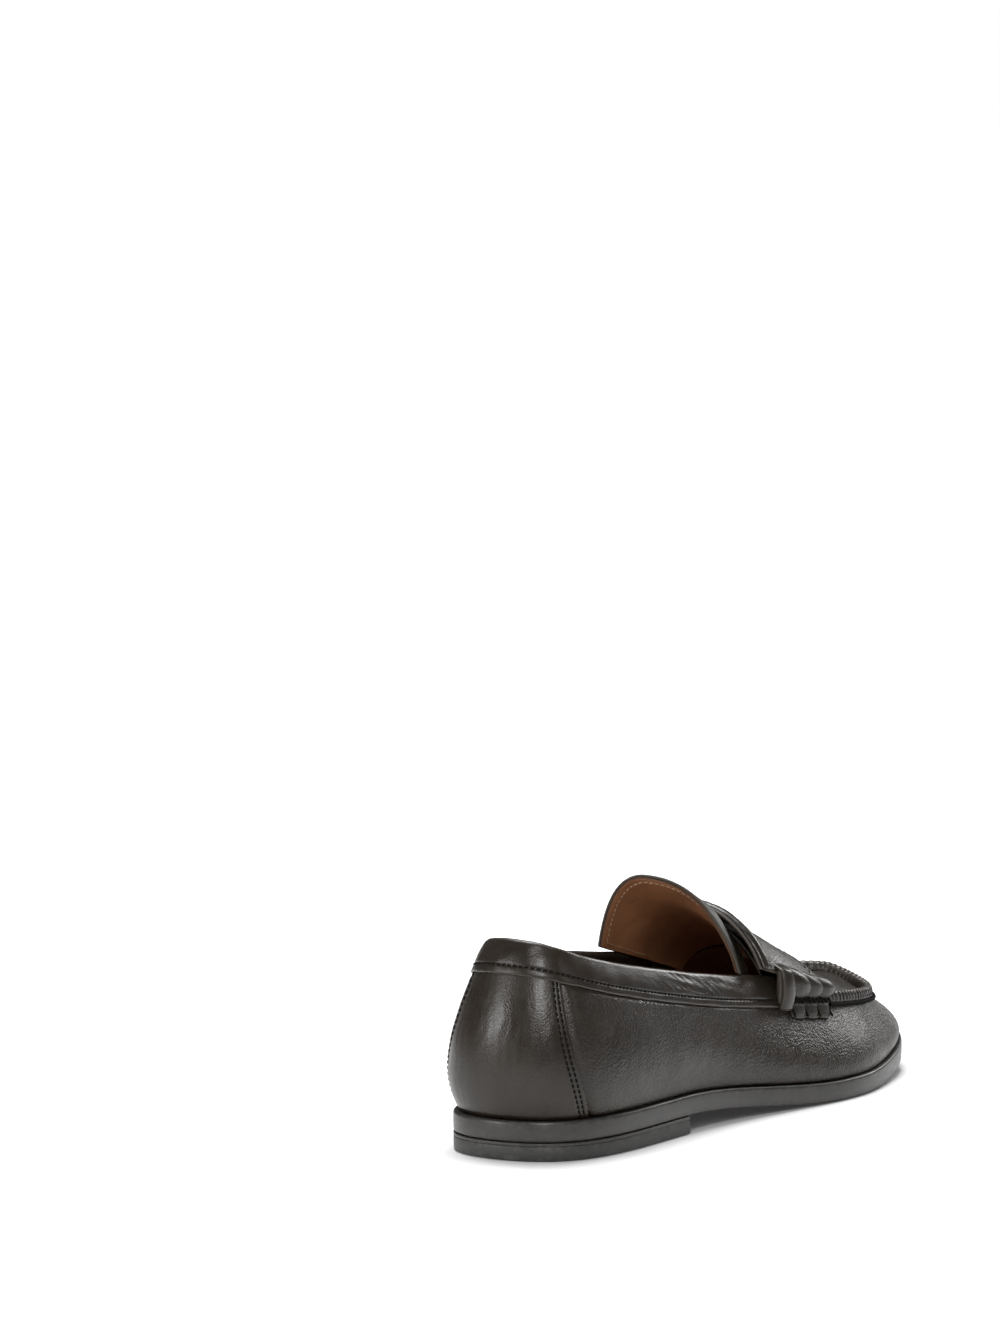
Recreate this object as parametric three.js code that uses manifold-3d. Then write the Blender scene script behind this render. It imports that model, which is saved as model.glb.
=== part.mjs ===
// A penny loafer for the right foot, in millimetres.
// While it is drawn, X runs from the heel's back to the toe, Y from the outer (lateral) side to the
// inner (medial) side, and Z up from the ground. The last group moves it so that the origin is the
// middle of the footprint of its box, on the ground.
//
// The shoe is drawn on one smooth form. Places round the shoe are counted in stations along the
// outline: 0 is the heel's back, 1 to 9 go forward along the outer side, 9.55 is the toe, and 10 to
// 18 come back along the inner side. A place across the instep is an arch number (how far behind
// the toe its two feet stand, in stations) and a share across from -1 (outer) to 1 (inner).

import * as THREE from "three";
import { mergeVertices } from "three/addons/utils/BufferGeometryUtils.js";
import Module from "manifold-3d";

const wasm = await Module();
wasm.setup();

// ---- Overall sizes ----
const SOLE_LENGTH = 290;
const SOLE_WIDTH = 99.4;
const BACK_HEIGHT = 72; // ground to the lower edge of the collar, at the heel's back
const TONGUE_RISE = 44.5; // crown of the instep above its feet, at the tongue
const TOE_RISE = 2; // the same at the toe

// ---- Bottom ----
const SOLE_THICKNESS = 7.9;
const HEEL_HEIGHT = 7; // everything under the outsole
const HEEL_LIFT_THICKNESS = 1.2;
const HEEL_BREAST = 84.6; // heel's back to the straight front of the heel
const TREAD_START = 185; // where the outsole first meets the ground
const TOE_SPRING = 11;
const TOE_SPRING_START = 200;
const FEATHER_INSET = 2.2; // sole edge to the foot of the upper
const BOARD_THICKNESS = 2;
const FOAM_THICKNESS = 1.2;
const SOCK_THICKNESS = 1;
const SHANK = { start: 62, end: 168, width: 14, thickness: 1.2 };
const NAIL = { radius: 1, head: 2.2, headHeight: 0.8, length: 16 };
const NAIL_RING = { x: 38, rx: 22, ry: 17, count: 5 };

// ---- Upper ----
const LEATHER = 1.2;
const LINING = 1;
const STIFFENER = 0.9;
const GAP = 0.3; // between pieces that lie on each other
const LINING_PLAY = 0.5; // between the lining and the leather in front of it
const LASTING_MARGIN = 12; // upper turned in under the insole board
const BOARD_PLAY = 0.1; // insole board to the upper round it
const SOCK_PLAY = 1.2; // sock to the lining round it
const SOCK_TOE_SHARE = 0.0175; // further in at the toe, as a share of the length
const FILLER_PLAY = 2.4; // bottom filler to the turned-in margin
const LAP = 0.2; // stations of the vamp under the heel cover
const GRIP_END = 1.9; // station where the heel grip meets the quarter linings
const TOE_PUFF = { start: 7.3, end: 12.2 }; // stations
const STIFFENER_END = 0.1; // stations from the heel seam's lap to the stiffeners
const JOIN = 0.02; // stations between two inner layers that meet
const COLLAR_HEIGHT = 12.5;
const COLLAR_LEATHER = 1;
const COLLAR_END = 5.1; // station where the collar meets the strap, outer side
const COLLAR_TUCK = 6; // vamp that stands up inside the collar
const SEAM = { top: 1.09, flare: 0.42 }; // heel seam's station at the top, and how far it runs forward
const STRAP = { front: 3.68, rear: 4.85, thickness: 1.6 };
const SLOT = { arch: 4.15, length: 0.34, height: 0.1 };
const TONGUE = { front: 4.72, tip: 5.585, skew: 0.227, round: 0.263, inset: 6.5, edge: 0.94, lining: 0.8 };
const APRON = { front: 0.25, rear: 4.66, reach: 0.97, inset: 1.5, narrowing: 5, scoop: 0.16 };
const RIDGE = { width: 4.6, height: 5, underStrap: 0.06 };
const THREAD_RADIUS = 0.7;
const THREAD_END = 0.05; // stations of ridge past each end of the thread
const ROLL = { pleats: 4, height: 15, drop: 4, bulge: 5, lobe: 2, back: 1.5 };

// ---- Outline of the sole: share of the length, share of the width, one row a station ----
const OUTLINE = [
  [-0.007, 0],
  [0.017, -0.256],
  [0.114, -0.359],
  [0.259, -0.355],
  [0.397, -0.37],
  [0.534, -0.451],
  [0.672, -0.543],
  [0.8, -0.457],
  [0.917, -0.349],
  [1, -0.083],
  [1.007, 0.146],
  [0.938, 0.374],
  [0.821, 0.479],
  [0.69, 0.499],
  [0.552, 0.416],
  [0.397, 0.302],
  [0.259, 0.312],
  [0.114, 0.359],
  [0.017, 0.256],
];
// Top of the upper's wall: inset from the outline in mm, and share of the back height.
const WALL_TOP = [
  [7, 0.993],
  [6.5, 0.965],
  [7, 0.854],
  [4.5, 0.736],
  [4, 0.632],
  [11, 0.556],
  [16, 0.493],
  [10.5, 0.444],
  [12.5, 0.41],
  [20, 0.472],
  [21, 0.486],
  [16, 0.486],
  [13, 0.507],
  [12.5, 0.549],
  [9, 0.618],
  [2, 0.715],
  [3, 0.792],
  [7.5, 0.889],
  [9, 0.972],
];
// How far the wall swells outwards above its foot, in mm.
const SWELL = [10.5, 10, 8, 5, 5, 5, 5, 5, 5, 6, 6, 5, 5, 5, 6, 8, 8, 9, 11];
const STATIONS = OUTLINE.length;
const TOE = 9.55;
const FINE_STEP = 0.22; // stations between two columns of a mesh where the form turns tightly
const MEDIAL_STEP = 0.985; // inner stations for one outer station, so that the feet stand opposite

// ---- Small helpers ----
const V = (x, y, z) => new THREE.Vector3(x, y, z);
const lerp = THREE.MathUtils.lerp;
const clamp = THREE.MathUtils.clamp;
const smooth = (x, a, b) => THREE.MathUtils.smoothstep(x, a, b);
const steps = (from, to, count) =>
  Array.from({ length: count + 1 }, (_, i) => lerp(from, to, i / count));

// Value of a closed cubic B-spline over a list of numbers, at station u.
function spline(values, u) {
  const i = Math.floor(u);
  const f = u - i;
  const at = (k) => values[(((i + k) % STATIONS) + STATIONS) % STATIONS];
  const weights = [
    (1 - f) ** 3 / 6,
    (3 * f ** 3 - 6 * f ** 2 + 4) / 6,
    (-3 * f ** 3 + 3 * f ** 2 + 3 * f + 1) / 6,
    f ** 3 / 6,
  ];
  return weights.reduce((sum, w, k) => sum + w * at(k - 1), 0);
}

// ---- The form ----
const outlineX = OUTLINE.map(([x]) => x * SOLE_LENGTH);
const outlineY = OUTLINE.map(([, y]) => y * SOLE_WIDTH);
const outlineAt = (u) => V(spline(outlineX, u), spline(outlineY, u), 0);

// Outward level direction of the outline at station u.
function outward(u) {
  const t = outlineAt(u + 0.001).sub(outlineAt(u - 0.001));
  return V(t.y, -t.x, 0).normalize();
}

function soleUnder(x) {
  const drop = smooth(x, HEEL_BREAST, TREAD_START);
  const spring = clamp((x - TOE_SPRING_START) / (SOLE_LENGTH - TOE_SPRING_START), 0, 1.1);
  return HEEL_HEIGHT * (1 - drop) + TOE_SPRING * spring ** 2;
}
const soleTop = (x) => soleUnder(x) + SOLE_THICKNESS;

// Foot of the upper, where it leaves the sole.
function feather(u, inwards = 0) {
  const p = outlineAt(u).addScaledVector(outward(u), -FEATHER_INSET - inwards);
  p.z = soleTop(p.x) + GAP;
  return p;
}

// Control points of the wall's top, inset square to the outline's own polygon.
const topPoints = OUTLINE.map((_, i) => {
  const before = (i + STATIONS - 1) % STATIONS;
  const after = (i + 1) % STATIONS;
  const tx = outlineX[after] - outlineX[before];
  const ty = outlineY[after] - outlineY[before];
  const size = Math.hypot(tx, ty);
  const [inset] = WALL_TOP[i];
  return [outlineX[i] - (ty / size) * inset, outlineY[i] + (tx / size) * inset];
});
const topX = topPoints.map(([x]) => x);
const topY = topPoints.map(([, y]) => y);
const topZ = WALL_TOP.map(([, share]) => share * BACK_HEIGHT);
const rim = (u) => V(spline(topX, u), spline(topY, u), spline(topZ, u));

// Outer face of the upper at station u: h from 0 at the sole to 1 at the rim, then on up the
// collar, one unit for its whole height.
function upperFace(u, h) {
  const foot = feather(u);
  const top = rim(u);
  const out = outward(u);
  const swell = spline(SWELL, u);
  const rise = top.z - foot.z;
  const low = foot.clone().addScaledVector(out, swell);
  low.z += rise * 0.34;
  const high = top.clone().addScaledVector(out, swell * 0.5);
  high.z -= rise * 0.27;
  if (h > 1) {
    const lean = top.clone().sub(high).normalize();
    const up = (h - 1) * COLLAR_HEIGHT;
    return top.addScaledVector(lean, up).addScaledVector(out, -0.8 * (h - 1) ** 2);
  }
  return new THREE.CubicBezierCurve3(foot, low, high, top).getPoint(h);
}

// The same face moved inwards by a depth, square to itself.
function upperAt(u, h, depth) {
  const along = upperFace(u + 0.01, h).sub(upperFace(u - 0.01, h));
  const up = upperFace(u, h + 0.005).sub(upperFace(u, h - 0.005));
  const normal = up.cross(along).normalize();
  if (normal.dot(outward(u)) < 0) normal.negate();
  return upperFace(u, h).addScaledVector(normal, -depth);
}

// Share of the wall's height where its face, moved inwards, stands a given rise above the foot.
function shareAtRise(u, rise, depth) {
  const foot = feather(u).z;
  let low = 0;
  let high = 0.9;
  for (let i = 0; i < 20; i++) {
    const middle = (low + high) / 2;
    if (upperAt(u, middle, depth).z - foot < rise) low = middle;
    else high = middle;
  }
  return low;
}

// Stations between two places: close together round the heel and the toe, wide along the sides.
function stationsBetween(from, to) {
  const list = [from];
  for (let k = Math.ceil(from / FINE_STEP); k * FINE_STEP < to; k++) {
    const u = k * FINE_STEP;
    const place = ((u % STATIONS) + STATIONS) % STATIONS;
    const side = Math.min(place, STATIONS - place);
    const tight = side < 3.2 || side > 6.9;
    if ((tight || k % 2 === 0) && u - from > FINE_STEP / 2 && to - u > FINE_STEP / 2) list.push(u);
  }
  return [...list, to];
}

// Outer face of the instep: arch number, share across, and inset of its two feet.
function instepFace(arch, across, inset) {
  const outer = rim(TOE - arch);
  const inner = rim(TOE + MEDIAL_STEP * arch);
  const middle = outer.clone().add(inner).multiplyScalar(0.5);
  const half = inner.clone().sub(outer).multiplyScalar(0.5);
  const width = Math.hypot(half.x, half.y);
  half.multiplyScalar((width - inset) / width);
  const back = clamp((0.948 * SOLE_LENGTH - middle.x) / (0.548 * SOLE_LENGTH), 0, 1.2);
  const rise = TOE_RISE + (TONGUE_RISE - TOE_RISE) * back ** 1.5;
  const fullness = clamp(0.5 + (middle.x - 0.586 * SOLE_LENGTH) / (0.62 * SOLE_LENGTH), 0.5, 0.95);
  const p = middle.addScaledVector(half, across);
  p.z += rise * Math.max(0, 1 - across * across) ** fullness;
  return p;
}

// The same face moved up, square to itself.
function instep(arch, across, lift = 0, inset = 0) {
  const t = clamp(across, -0.985, 0.985);
  const along = instepFace(arch + 0.01, t, inset).sub(instepFace(arch - 0.01, t, inset));
  const over = instepFace(arch, t + 0.01, inset).sub(instepFace(arch, t - 0.01, inset));
  const normal = along.cross(over).normalize();
  if (normal.z < 0) normal.negate();
  return instepFace(arch, across, inset).addScaledVector(normal, lift);
}

// ---- Solids ----
const material = (color, roughness, metalness = 0) =>
  new THREE.MeshStandardMaterial({ color, roughness, metalness });
const brown = () => material(0x3a332c, 0.5);
const liningBrown = () => material(0x8a5f3f, 0.7);
const soleGrey = () => material(0x3f3f3b, 0.45);

// Closes a triangle list over points into a geometry whose faces point outwards.
function closed(points, triangles) {
  const positions = new Float32Array(points.flatMap((p) => [p.x, p.y, p.z]));
  let geometry = new THREE.BufferGeometry();
  geometry.setAttribute("position", new THREE.BufferAttribute(positions, 3));
  geometry.setIndex(triangles.flat());
  geometry = mergeVertices(geometry, 2e-3);
  const index = geometry.index.array;
  const at = geometry.attributes.position;
  const kept = [];
  let volume = 0;
  for (let i = 0; i < index.length; i += 3) {
    const [a, b, c] = [index[i], index[i + 1], index[i + 2]];
    if (a === b || b === c || c === a) continue;
    kept.push(a, b, c);
    const [p, q, r] = [a, b, c].map((k) => new THREE.Vector3().fromBufferAttribute(at, k));
    volume += p.dot(q.cross(r));
  }
  if (volume < 0) kept.reverse();
  geometry.setIndex(kept);
  return geometry;
}

// A sheet between an outer and an inner grid of points with the same rows and columns.
function sheet(outer, inner) {
  const rows = outer.length;
  const columns = outer[0].length;
  const points = [...outer.flat(), ...inner.flat()];
  const at = (side, r, c) => side * rows * columns + r * columns + c;
  const triangles = [];
  const quad = (a, b, c, d) => triangles.push([a, b, c], [a, c, d]);
  for (let r = 0; r + 1 < rows; r++)
    for (let c = 0; c + 1 < columns; c++) {
      quad(at(0, r, c), at(0, r, c + 1), at(0, r + 1, c + 1), at(0, r + 1, c));
      quad(at(1, r, c), at(1, r + 1, c), at(1, r + 1, c + 1), at(1, r, c + 1));
    }
  for (let r = 0; r + 1 < rows; r++) {
    quad(at(0, r, 0), at(0, r + 1, 0), at(1, r + 1, 0), at(1, r, 0));
    const last = columns - 1;
    quad(at(0, r + 1, last), at(0, r, last), at(1, r, last), at(1, r + 1, last));
  }
  for (let c = 0; c + 1 < columns; c++) {
    quad(at(0, 0, c + 1), at(0, 0, c), at(1, 0, c), at(1, 0, c + 1));
    const last = rows - 1;
    quad(at(0, last, c), at(0, last, c + 1), at(1, last, c + 1), at(1, last, c));
  }
  return closed(points, triangles);
}

// A grid of points from lists of row and column values.
const grid = (rows, columns, point) => rows.map((r) => columns.map((c) => point(r, c)));

// manifold-3d solids, only to join and cut.
function toSolid(geometry) {
  const bare = geometry.clone();
  for (const name of ["normal", "uv"]) bare.deleteAttribute(name);
  const merged = mergeVertices(bare, 1e-3);
  const vertProperties = new Float32Array(merged.attributes.position.array);
  const triVerts = new Uint32Array(merged.index.array);
  return new wasm.Manifold(new wasm.Mesh({ numProp: 3, vertProperties, triVerts }));
}
function fromSolid(solid) {
  const mesh = solid.getMesh();
  const geometry = new THREE.BufferGeometry();
  geometry.setAttribute("position", new THREE.BufferAttribute(mesh.vertProperties, 3));
  geometry.setIndex(new THREE.BufferAttribute(mesh.triVerts, 1));
  return geometry;
}
const cut = (geometry, ...tools) =>
  fromSolid(tools.reduce((solid, tool) => solid.subtract(toSolid(tool)), toSolid(geometry)));
const join = (...geometries) =>
  fromSolid(geometries.map(toSolid).reduce((solid, other) => solid.add(other)));

const loafer = new THREE.Group();
function add(name, geometry, finish) {
  const mesh = new THREE.Mesh(geometry, finish);
  mesh.name = name;
  loafer.add(mesh);
  return geometry;
}

// ---- Flat pieces of the bottom ----

// Both edges of the outline at an inset, as y against x.
function plan(inset) {
  const insetAt = typeof inset === "function" ? inset : () => inset;
  const points = steps(0, STATIONS, 380).map((u) =>
    outlineAt(u).addScaledVector(outward(u), -insetAt(u)),
  );
  const back = Math.min(...points.map((p) => p.x));
  const front = Math.max(...points.map((p) => p.x));
  const edge = (x, side) => {
    let best = 0;
    for (let i = 0; i + 1 < points.length; i++) {
      const [p, q] = [points[i], points[i + 1]];
      if (p.x === q.x || (x - p.x) * (x - q.x) > 0) continue;
      const y = lerp(p.y, q.y, (x - p.x) / (q.x - p.x));
      best = side < 0 ? Math.min(best, y) : Math.max(best, y);
    }
    return best;
  };
  return { back, front, edge };
}

// A plate of the outline's shape between two heights that follow x.
function plate({ inset, from = -Infinity, to = Infinity, under, over, count = 28, sides = [-1, 1] }) {
  const { back, front, edge } = plan(inset);
  const start = Math.max(back, from);
  const end = Math.min(front, to);
  const startAngle = start > back ? Math.PI / 2 : 0;
  const endAngle = end < front ? Math.PI / 2 : Math.PI;
  const low = Math.cos(startAngle);
  const high = Math.cos(endAngle);
  const xs = steps(startAngle, endAngle, count).map((a) =>
    lerp(start, end, (low - Math.cos(a)) / (low - high)),
  );
  const columns = steps(0, 1, 2);
  const at = (x, t, z) => V(x, lerp(edge(x, sides[0]), edge(x, sides[1]), t), z(x));
  return sheet(
    grid(xs, columns, (x, t) => at(x, t, over)),
    grid(xs, columns, (x, t) => at(x, t, under)),
  );
}

const level = (z) => () => z;
const aboveSole = (z) => (x) => soleTop(x) + z;

const marginTop = GAP + 2 * LEATHER + GAP; // both layers of a lapped lasting margin
const boardUnder = marginTop + GAP;
const boardOver = boardUnder + BOARD_THICKNESS;
const foamUnder = boardOver + GAP;
const sockUnder = foamUnder + FOAM_THICKNESS + GAP;
const toeLean = SOCK_TOE_SHARE * SOLE_LENGTH;
// Edge of the sock and its foam, inside the lining, and further in where the toe's wall leans over.
const sockInset = (u) =>
  FEATHER_INSET +
  3 * LEATHER +
  LINING +
  SOCK_PLAY +
  toeLean * smooth(u, 6.5, 8.5) * (1 - smooth(u, 11, 13));

function nailPlaces() {
  return steps(0, 1, NAIL_RING.count - 1).map((t) => {
    const angle = Math.PI * (0.35 + 1.3 * t);
    return [NAIL_RING.x + NAIL_RING.rx * Math.cos(angle), NAIL_RING.ry * Math.sin(angle)];
  });
}
function upright(radius, from, to, x, y, sides = 8) {
  return new THREE.CylinderGeometry(radius, radius, to - from, sides)
    .rotateX(Math.PI / 2)
    .translate(x, y, (from + to) / 2);
}
const heelBoardTop = soleTop(0) + boardOver;
const nailTip = heelBoardTop - NAIL.length - NAIL.headHeight;
const nailBores = nailPlaces().map(([x, y]) =>
  upright(NAIL.radius + GAP, nailTip - GAP, heelBoardTop + 1, x, y),
);
const nailSeats = nailPlaces().map(([x, y]) =>
  upright(NAIL.head + GAP, heelBoardTop - NAIL.headHeight - GAP, heelBoardTop + 1, x, y),
);

function buildBottom() {
  const breast = HEEL_BREAST;
  const liftUnder = HEEL_HEIGHT - GAP - HEEL_LIFT_THICKNESS;
  const pieceOver = liftUnder - GAP;
  add("heel_top_piece", cut(
    plate({ inset: 0, to: breast, under: level(0), over: level(pieceOver), count: 18 }),
    ...nailBores,
  ), material(0x3a3a37, 0.6));
  add("heel_lift", cut(
    plate({ inset: 0, to: breast, under: level(liftUnder), over: level(HEEL_HEIGHT - GAP), count: 18 }),
    ...nailBores,
  ), material(0x34332f, 0.5));
  add("outsole", cut(
    plate({ inset: 0, under: soleUnder, over: soleTop, count: 38 }),
    ...nailBores,
  ), soleGrey());
  add("insole_board", cut(
    plate({
      inset: FEATHER_INSET + 2 * LEATHER + GAP + BOARD_PLAY,
      under: aboveSole(boardUnder),
      over: aboveSole(boardOver),
      count: 28,
    }),
    ...nailBores,
    ...nailSeats,
  ), material(0xa78a63, 0.9));
  nailPlaces().forEach(([x, y], i) => {
    const seat = heelBoardTop - NAIL.headHeight;
    const shaft = upright(NAIL.radius, nailTip, seat + 0.2, x, y);
    const head = upright(NAIL.head, seat, heelBoardTop, x, y);
    add(`heel_nail_${i + 1}`, join(shaft, head), material(0x8c8c8c, 0.4, 1));
  });
  const fillerInset = FEATHER_INSET + LASTING_MARGIN + FILLER_PLAY;
  add("bottom_filler", plate({
    inset: fillerInset,
    from: SHANK.end + 2,
    under: aboveSole(GAP),
    over: aboveSole(marginTop),
    count: 20,
  }), material(0x8a6f4d, 0.95));
  add("shank", shankBar(), material(0x9a9a98, 0.35, 1));
  add("comfort_foam", plate({
    inset: sockInset,
    under: aboveSole(foamUnder),
    over: aboveSole(foamUnder + FOAM_THICKNESS),
    count: 28,
  }), material(0x9c8b73, 0.95));
  add("sock_liner", plate({
    inset: sockInset,
    under: aboveSole(sockUnder),
    over: aboveSole(sockUnder + SOCK_THICKNESS),
    count: 28,
  }), liningBrown());
}

// Spring steel bar that bridges the waist between the heel and the tread.
function shankBar() {
  const xs = steps(SHANK.start, SHANK.end, 12);
  const side = [-SHANK.width / 2, SHANK.width / 2];
  const under = aboveSole(marginTop - SHANK.thickness);
  const over = aboveSole(marginTop);
  return sheet(
    grid(xs, side, (x, y) => V(x, y, over(x))),
    grid(xs, side, (x, y) => V(x, y, under(x))),
  );
}

// ---- Upper ----
const seamStation = (h) => SEAM.top + SEAM.flare * (1 - clamp(h, 0, 1)) ** 2.2;
const collarShare = (mm) => 1 + mm / COLLAR_HEIGHT;
const collarMedialEnd = STATIONS - (TOE + MEDIAL_STEP * (TOE - COLLAR_END));

// 1 where the collar stands over the wall, 0 in front of it.
function underCollar(u) {
  const v = u > STATIONS / 2 ? STATIONS - u : u;
  const end = u > STATIONS / 2 ? collarMedialEnd : COLLAR_END;
  return 1 - smooth(v, end + 0.04, end + 0.24);
}

// Column of the lasted leather at station u: turned-in margin, foot, wall and tucked top.
function lastedColumn(u, wallRows, depth) {
  const column = [];
  const out = outward(u);
  for (const inwards of [LASTING_MARGIN, LASTING_MARGIN / 2]) {
    const p = feather(u, inwards);
    p.z += depth(0);
    column.push(p);
  }
  const corner = feather(u).addScaledVector(out, -depth(0));
  corner.z = feather(u).z + depth(0);
  column.push(corner);
  for (const h of wallRows) column.push(upperAt(u, h, depth(h)));
  return column;
}

// Rows of the wall up to where the collar takes over; the top two rows step in under its leather.
const WALL_ROWS = [0.06, 0.15, 0.33, 0.55, 0.75];
const TUCK_DEPTH = COLLAR_LEATHER + GAP;

function heelCover() {
  const columns = steps(-1, 1, 18);
  const top = collarShare(COLLAR_TUCK);
  const heights = [...WALL_ROWS, 0.93, 1.03, top];
  const face = (extra) =>
    columns.map((a) => {
      const station = (h) => a * (seamStation(h) - 0.01);
      const depth = (h) => extra + (h > 1 ? TUCK_DEPTH : 0);
      const base = lastedColumn(station(0), [], depth);
      return [...base, ...heights.map((h) => upperAt(station(h), h, depth(h)))];
    });
  return sheet(face(0), face(LEATHER));
}

// The vamp and quarters: one piece from heel seam to heel seam round the toe. A skin above 0 gives
// the room that it needs.
function vamp(skin = 0) {
  const start = SEAM.top - LAP;
  const margin = [0, 0.1, LAP, 0.32].map((d) => start + d);
  const collarSteps = [
    COLLAR_END + 0.03,
    COLLAR_END + 0.25,
    STATIONS - collarMedialEnd - 0.25,
    STATIONS - collarMedialEnd - 0.03,
  ];
  const even = stationsBetween(start + 0.55, STATIONS - start - 0.55);
  const clear = even.filter((u) => collarSteps.every((other) => Math.abs(u - other) > 0.08));
  const middle = [...clear, ...collarSteps].sort((a, b) => a - b);
  const columns = [...margin, ...middle, ...margin.map((u) => STATIONS - u).reverse()];
  const face = (extra) =>
    columns.map((u) => {
      const fromEnd = Math.min(u, STATIONS - u) - start;
      const lapped = fromEnd < LAP + 0.01;
      const slant = (1 - smooth(fromEnd, 0.2, 2.2)) * Math.sign(STATIONS / 2 - u);
      const station = (h) => u + slant * (seamStation(h) - SEAM.top);
      const tuck = lapped ? 0 : underCollar(u);
      const topShare = lapped ? 0.92 : lerp(0.985, collarShare(COLLAR_TUCK), tuck);
      const upper = [lerp(0.86, 0.93, tuck), lerp(0.93, 1.03, tuck), topShare];
      const heights = [...WALL_ROWS, ...(lapped ? [0.87, 0.9, topShare] : upper)];
      const lapDepth = lapped ? LEATHER + GAP : 0;
      const depth = (h) => extra + Math.max(lapDepth, h > 0.95 ? TUCK_DEPTH * tuck : 0);
      const base = lastedColumn(station(0), [], depth);
      return [...base, ...heights.map((h) => upperAt(station(h), h, depth(h)))];
    });
  return sheet(face(-skin), face(LEATHER + skin));
}

// A layer inside the wall between two stations, from just above the board to a share of the wall.
function innerLayer(from, to, depth, thickness, top) {
  const rows = steps(0, 1, 4);
  const foot = foamUnder - GAP;
  const face = (d) =>
    stationsBetween(from, to).map((u) => {
      const low = shareAtRise(u, foot, depth + thickness);
      return rows.map((t) => upperAt(u, lerp(low, top, t), d));
    });
  return sheet(face(depth), face(depth + thickness));
}

const liningDepth = 2 * LEATHER + GAP + LINING_PLAY;
const stiffenerDepth = liningDepth - GAP - STIFFENER;

function buildUpper() {
  add("heel_cover", heelCover(), brown());
  add("vamp", vamp(), brown());
  const fibre = () => material(0xb59b78, 0.9);
  const layer = (name, from, to) =>
    add(name, innerLayer(from, to, stiffenerDepth, STIFFENER, 0.88), fibre());
  const counterEnd = SEAM.top - LAP - STIFFENER_END;
  const backerStart = SEAM.top + SEAM.flare + STIFFENER_END;
  layer("heel_counter", -counterEnd, counterEnd);
  layer("side_backer_lateral", backerStart, TOE_PUFF.start - JOIN);
  layer("toe_puff", TOE_PUFF.start, TOE_PUFF.end);
  layer("side_backer_medial", TOE_PUFF.end + JOIN, STATIONS - backerStart);
  const lining = (name, from, to) =>
    add(name, innerLayer(from, to, liningDepth, LINING, 0.95), liningBrown());
  const medialJoin = STATIONS - collarMedialEnd;
  lining("heel_grip", -GRIP_END, GRIP_END);
  lining("quarter_lining_lateral", GRIP_END + JOIN, COLLAR_END);
  lining("vamp_lining", COLLAR_END + JOIN, medialJoin - JOIN);
  lining("quarter_lining_medial", medialJoin, STATIONS - GRIP_END - JOIN);
}

// Collar: one strip folded over the top edge, from the strap round the heel to the strap.
function collar() {
  const depth = 2 * COLLAR_LEATHER + LEATHER + 2 * GAP;
  const section = (skin) => {
    const radius = depth / 2 - skin;
    const legs = [0.02, 0.6];
    const shoulder = 1 - depth / 2 / COLLAR_HEIGHT;
    const arc = steps(0, Math.PI, 4).map((a) => [
      1 + shoulder + (radius / COLLAR_HEIGHT) * Math.sin(a),
      depth / 2 - radius * Math.cos(a),
    ]);
    const rise = legs.map((t) => [1 + t * shoulder, skin]);
    const fall = legs.map((t) => [1 + t * shoulder, depth - skin]).reverse();
    return [...rise, ...arc, ...fall];
  };
  const stations = stationsBetween(-collarMedialEnd + 0.02, COLLAR_END - 0.02);
  const face = (skin) => stations.map((u) => section(skin).map(([h, d]) => upperAt(u, h, d)));
  return sheet(face(0), face(COLLAR_LEATHER));
}

// ---- Apron, strap and tongue ----
const ridgeReach = STRAP.front - RIDGE.underStrap;
const frontEnd = TOE - ridgeReach;

function apron() {
  const arches = [...steps(APRON.front, 1.4, 5), ...steps(1.8, APRON.rear, 8)];
  const across = steps(-1, 1, 10);
  const inset = (arch) => APRON.inset + APRON.narrowing * smooth(arch, 3.9, 4.3);
  const rear = (arch, a) => arch - APRON.scoop * a * a * smooth(arch, 4, APRON.rear);
  const face = (depth) =>
    grid(arches, across, (arch, a) => instep(rear(arch, a), APRON.reach * a, -depth, inset(arch)));
  const plateBody = sheet(face(0), face(LEATHER));
  return join(plateBody, ridge());
}

// Raised, gathered edge of the apron, round the toe from strap to strap.
function ridge() {
  const stations = stationsBetween(frontEnd, TOE + MEDIAL_STEP * ridgeReach);
  const face = (base) =>
    stations.map((u) =>
      steps(0, Math.PI, 5).map((a) => {
        const p = rim(u).addScaledVector(outward(u), -RIDGE.width / 2);
        p.addScaledVector(outward(u), (RIDGE.width / 2) * Math.cos(a) * (base ? 0.9 : 1));
        p.z += GAP + (base ? 0 : RIDGE.height * Math.sin(a) ** 0.7 + 0.02);
        return p;
      }),
    );
  return sheet(face(false), face(true));
}

// Heavy thread that lies along the outer foot of the ridge.
function seamThread() {
  const start = frontEnd + THREAD_END;
  const end = TOE + MEDIAL_STEP * (ridgeReach - THREAD_END);
  const points = steps(start, end, 40).map((u) =>
    upperAt(u, 0.985, -THREAD_RADIUS - GAP),
  );
  const path = new THREE.CatmullRomCurve3(points);
  const circle = new THREE.Shape().absarc(0, 0, THREAD_RADIUS, 0, 2 * Math.PI);
  const options = { steps: 54, extrudePath: path, curveSegments: 3, bevelEnabled: false };
  return new THREE.ExtrudeGeometry(circle, options);
}

// Lift of the strap's under face above the instep, over the apron's fold.
const STRAP_LIFT = GAP + 0.9;
function strapFace(lift, margin) {
  const arches = steps(STRAP.front - margin / 30, STRAP.rear + margin / 30, 6);
  const across = steps(-1, 1, 18);
  return grid(arches, across, (arch, a) => {
    const beside = smooth(arch, TOE - COLLAR_END - 0.1, TOE - COLLAR_END + 0.05);
    const reach = lerp(0.975, 0.9, beside) + margin / 80;
    return instep(arch, reach * Math.sin((a * Math.PI) / 2), lift);
  });
}
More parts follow.
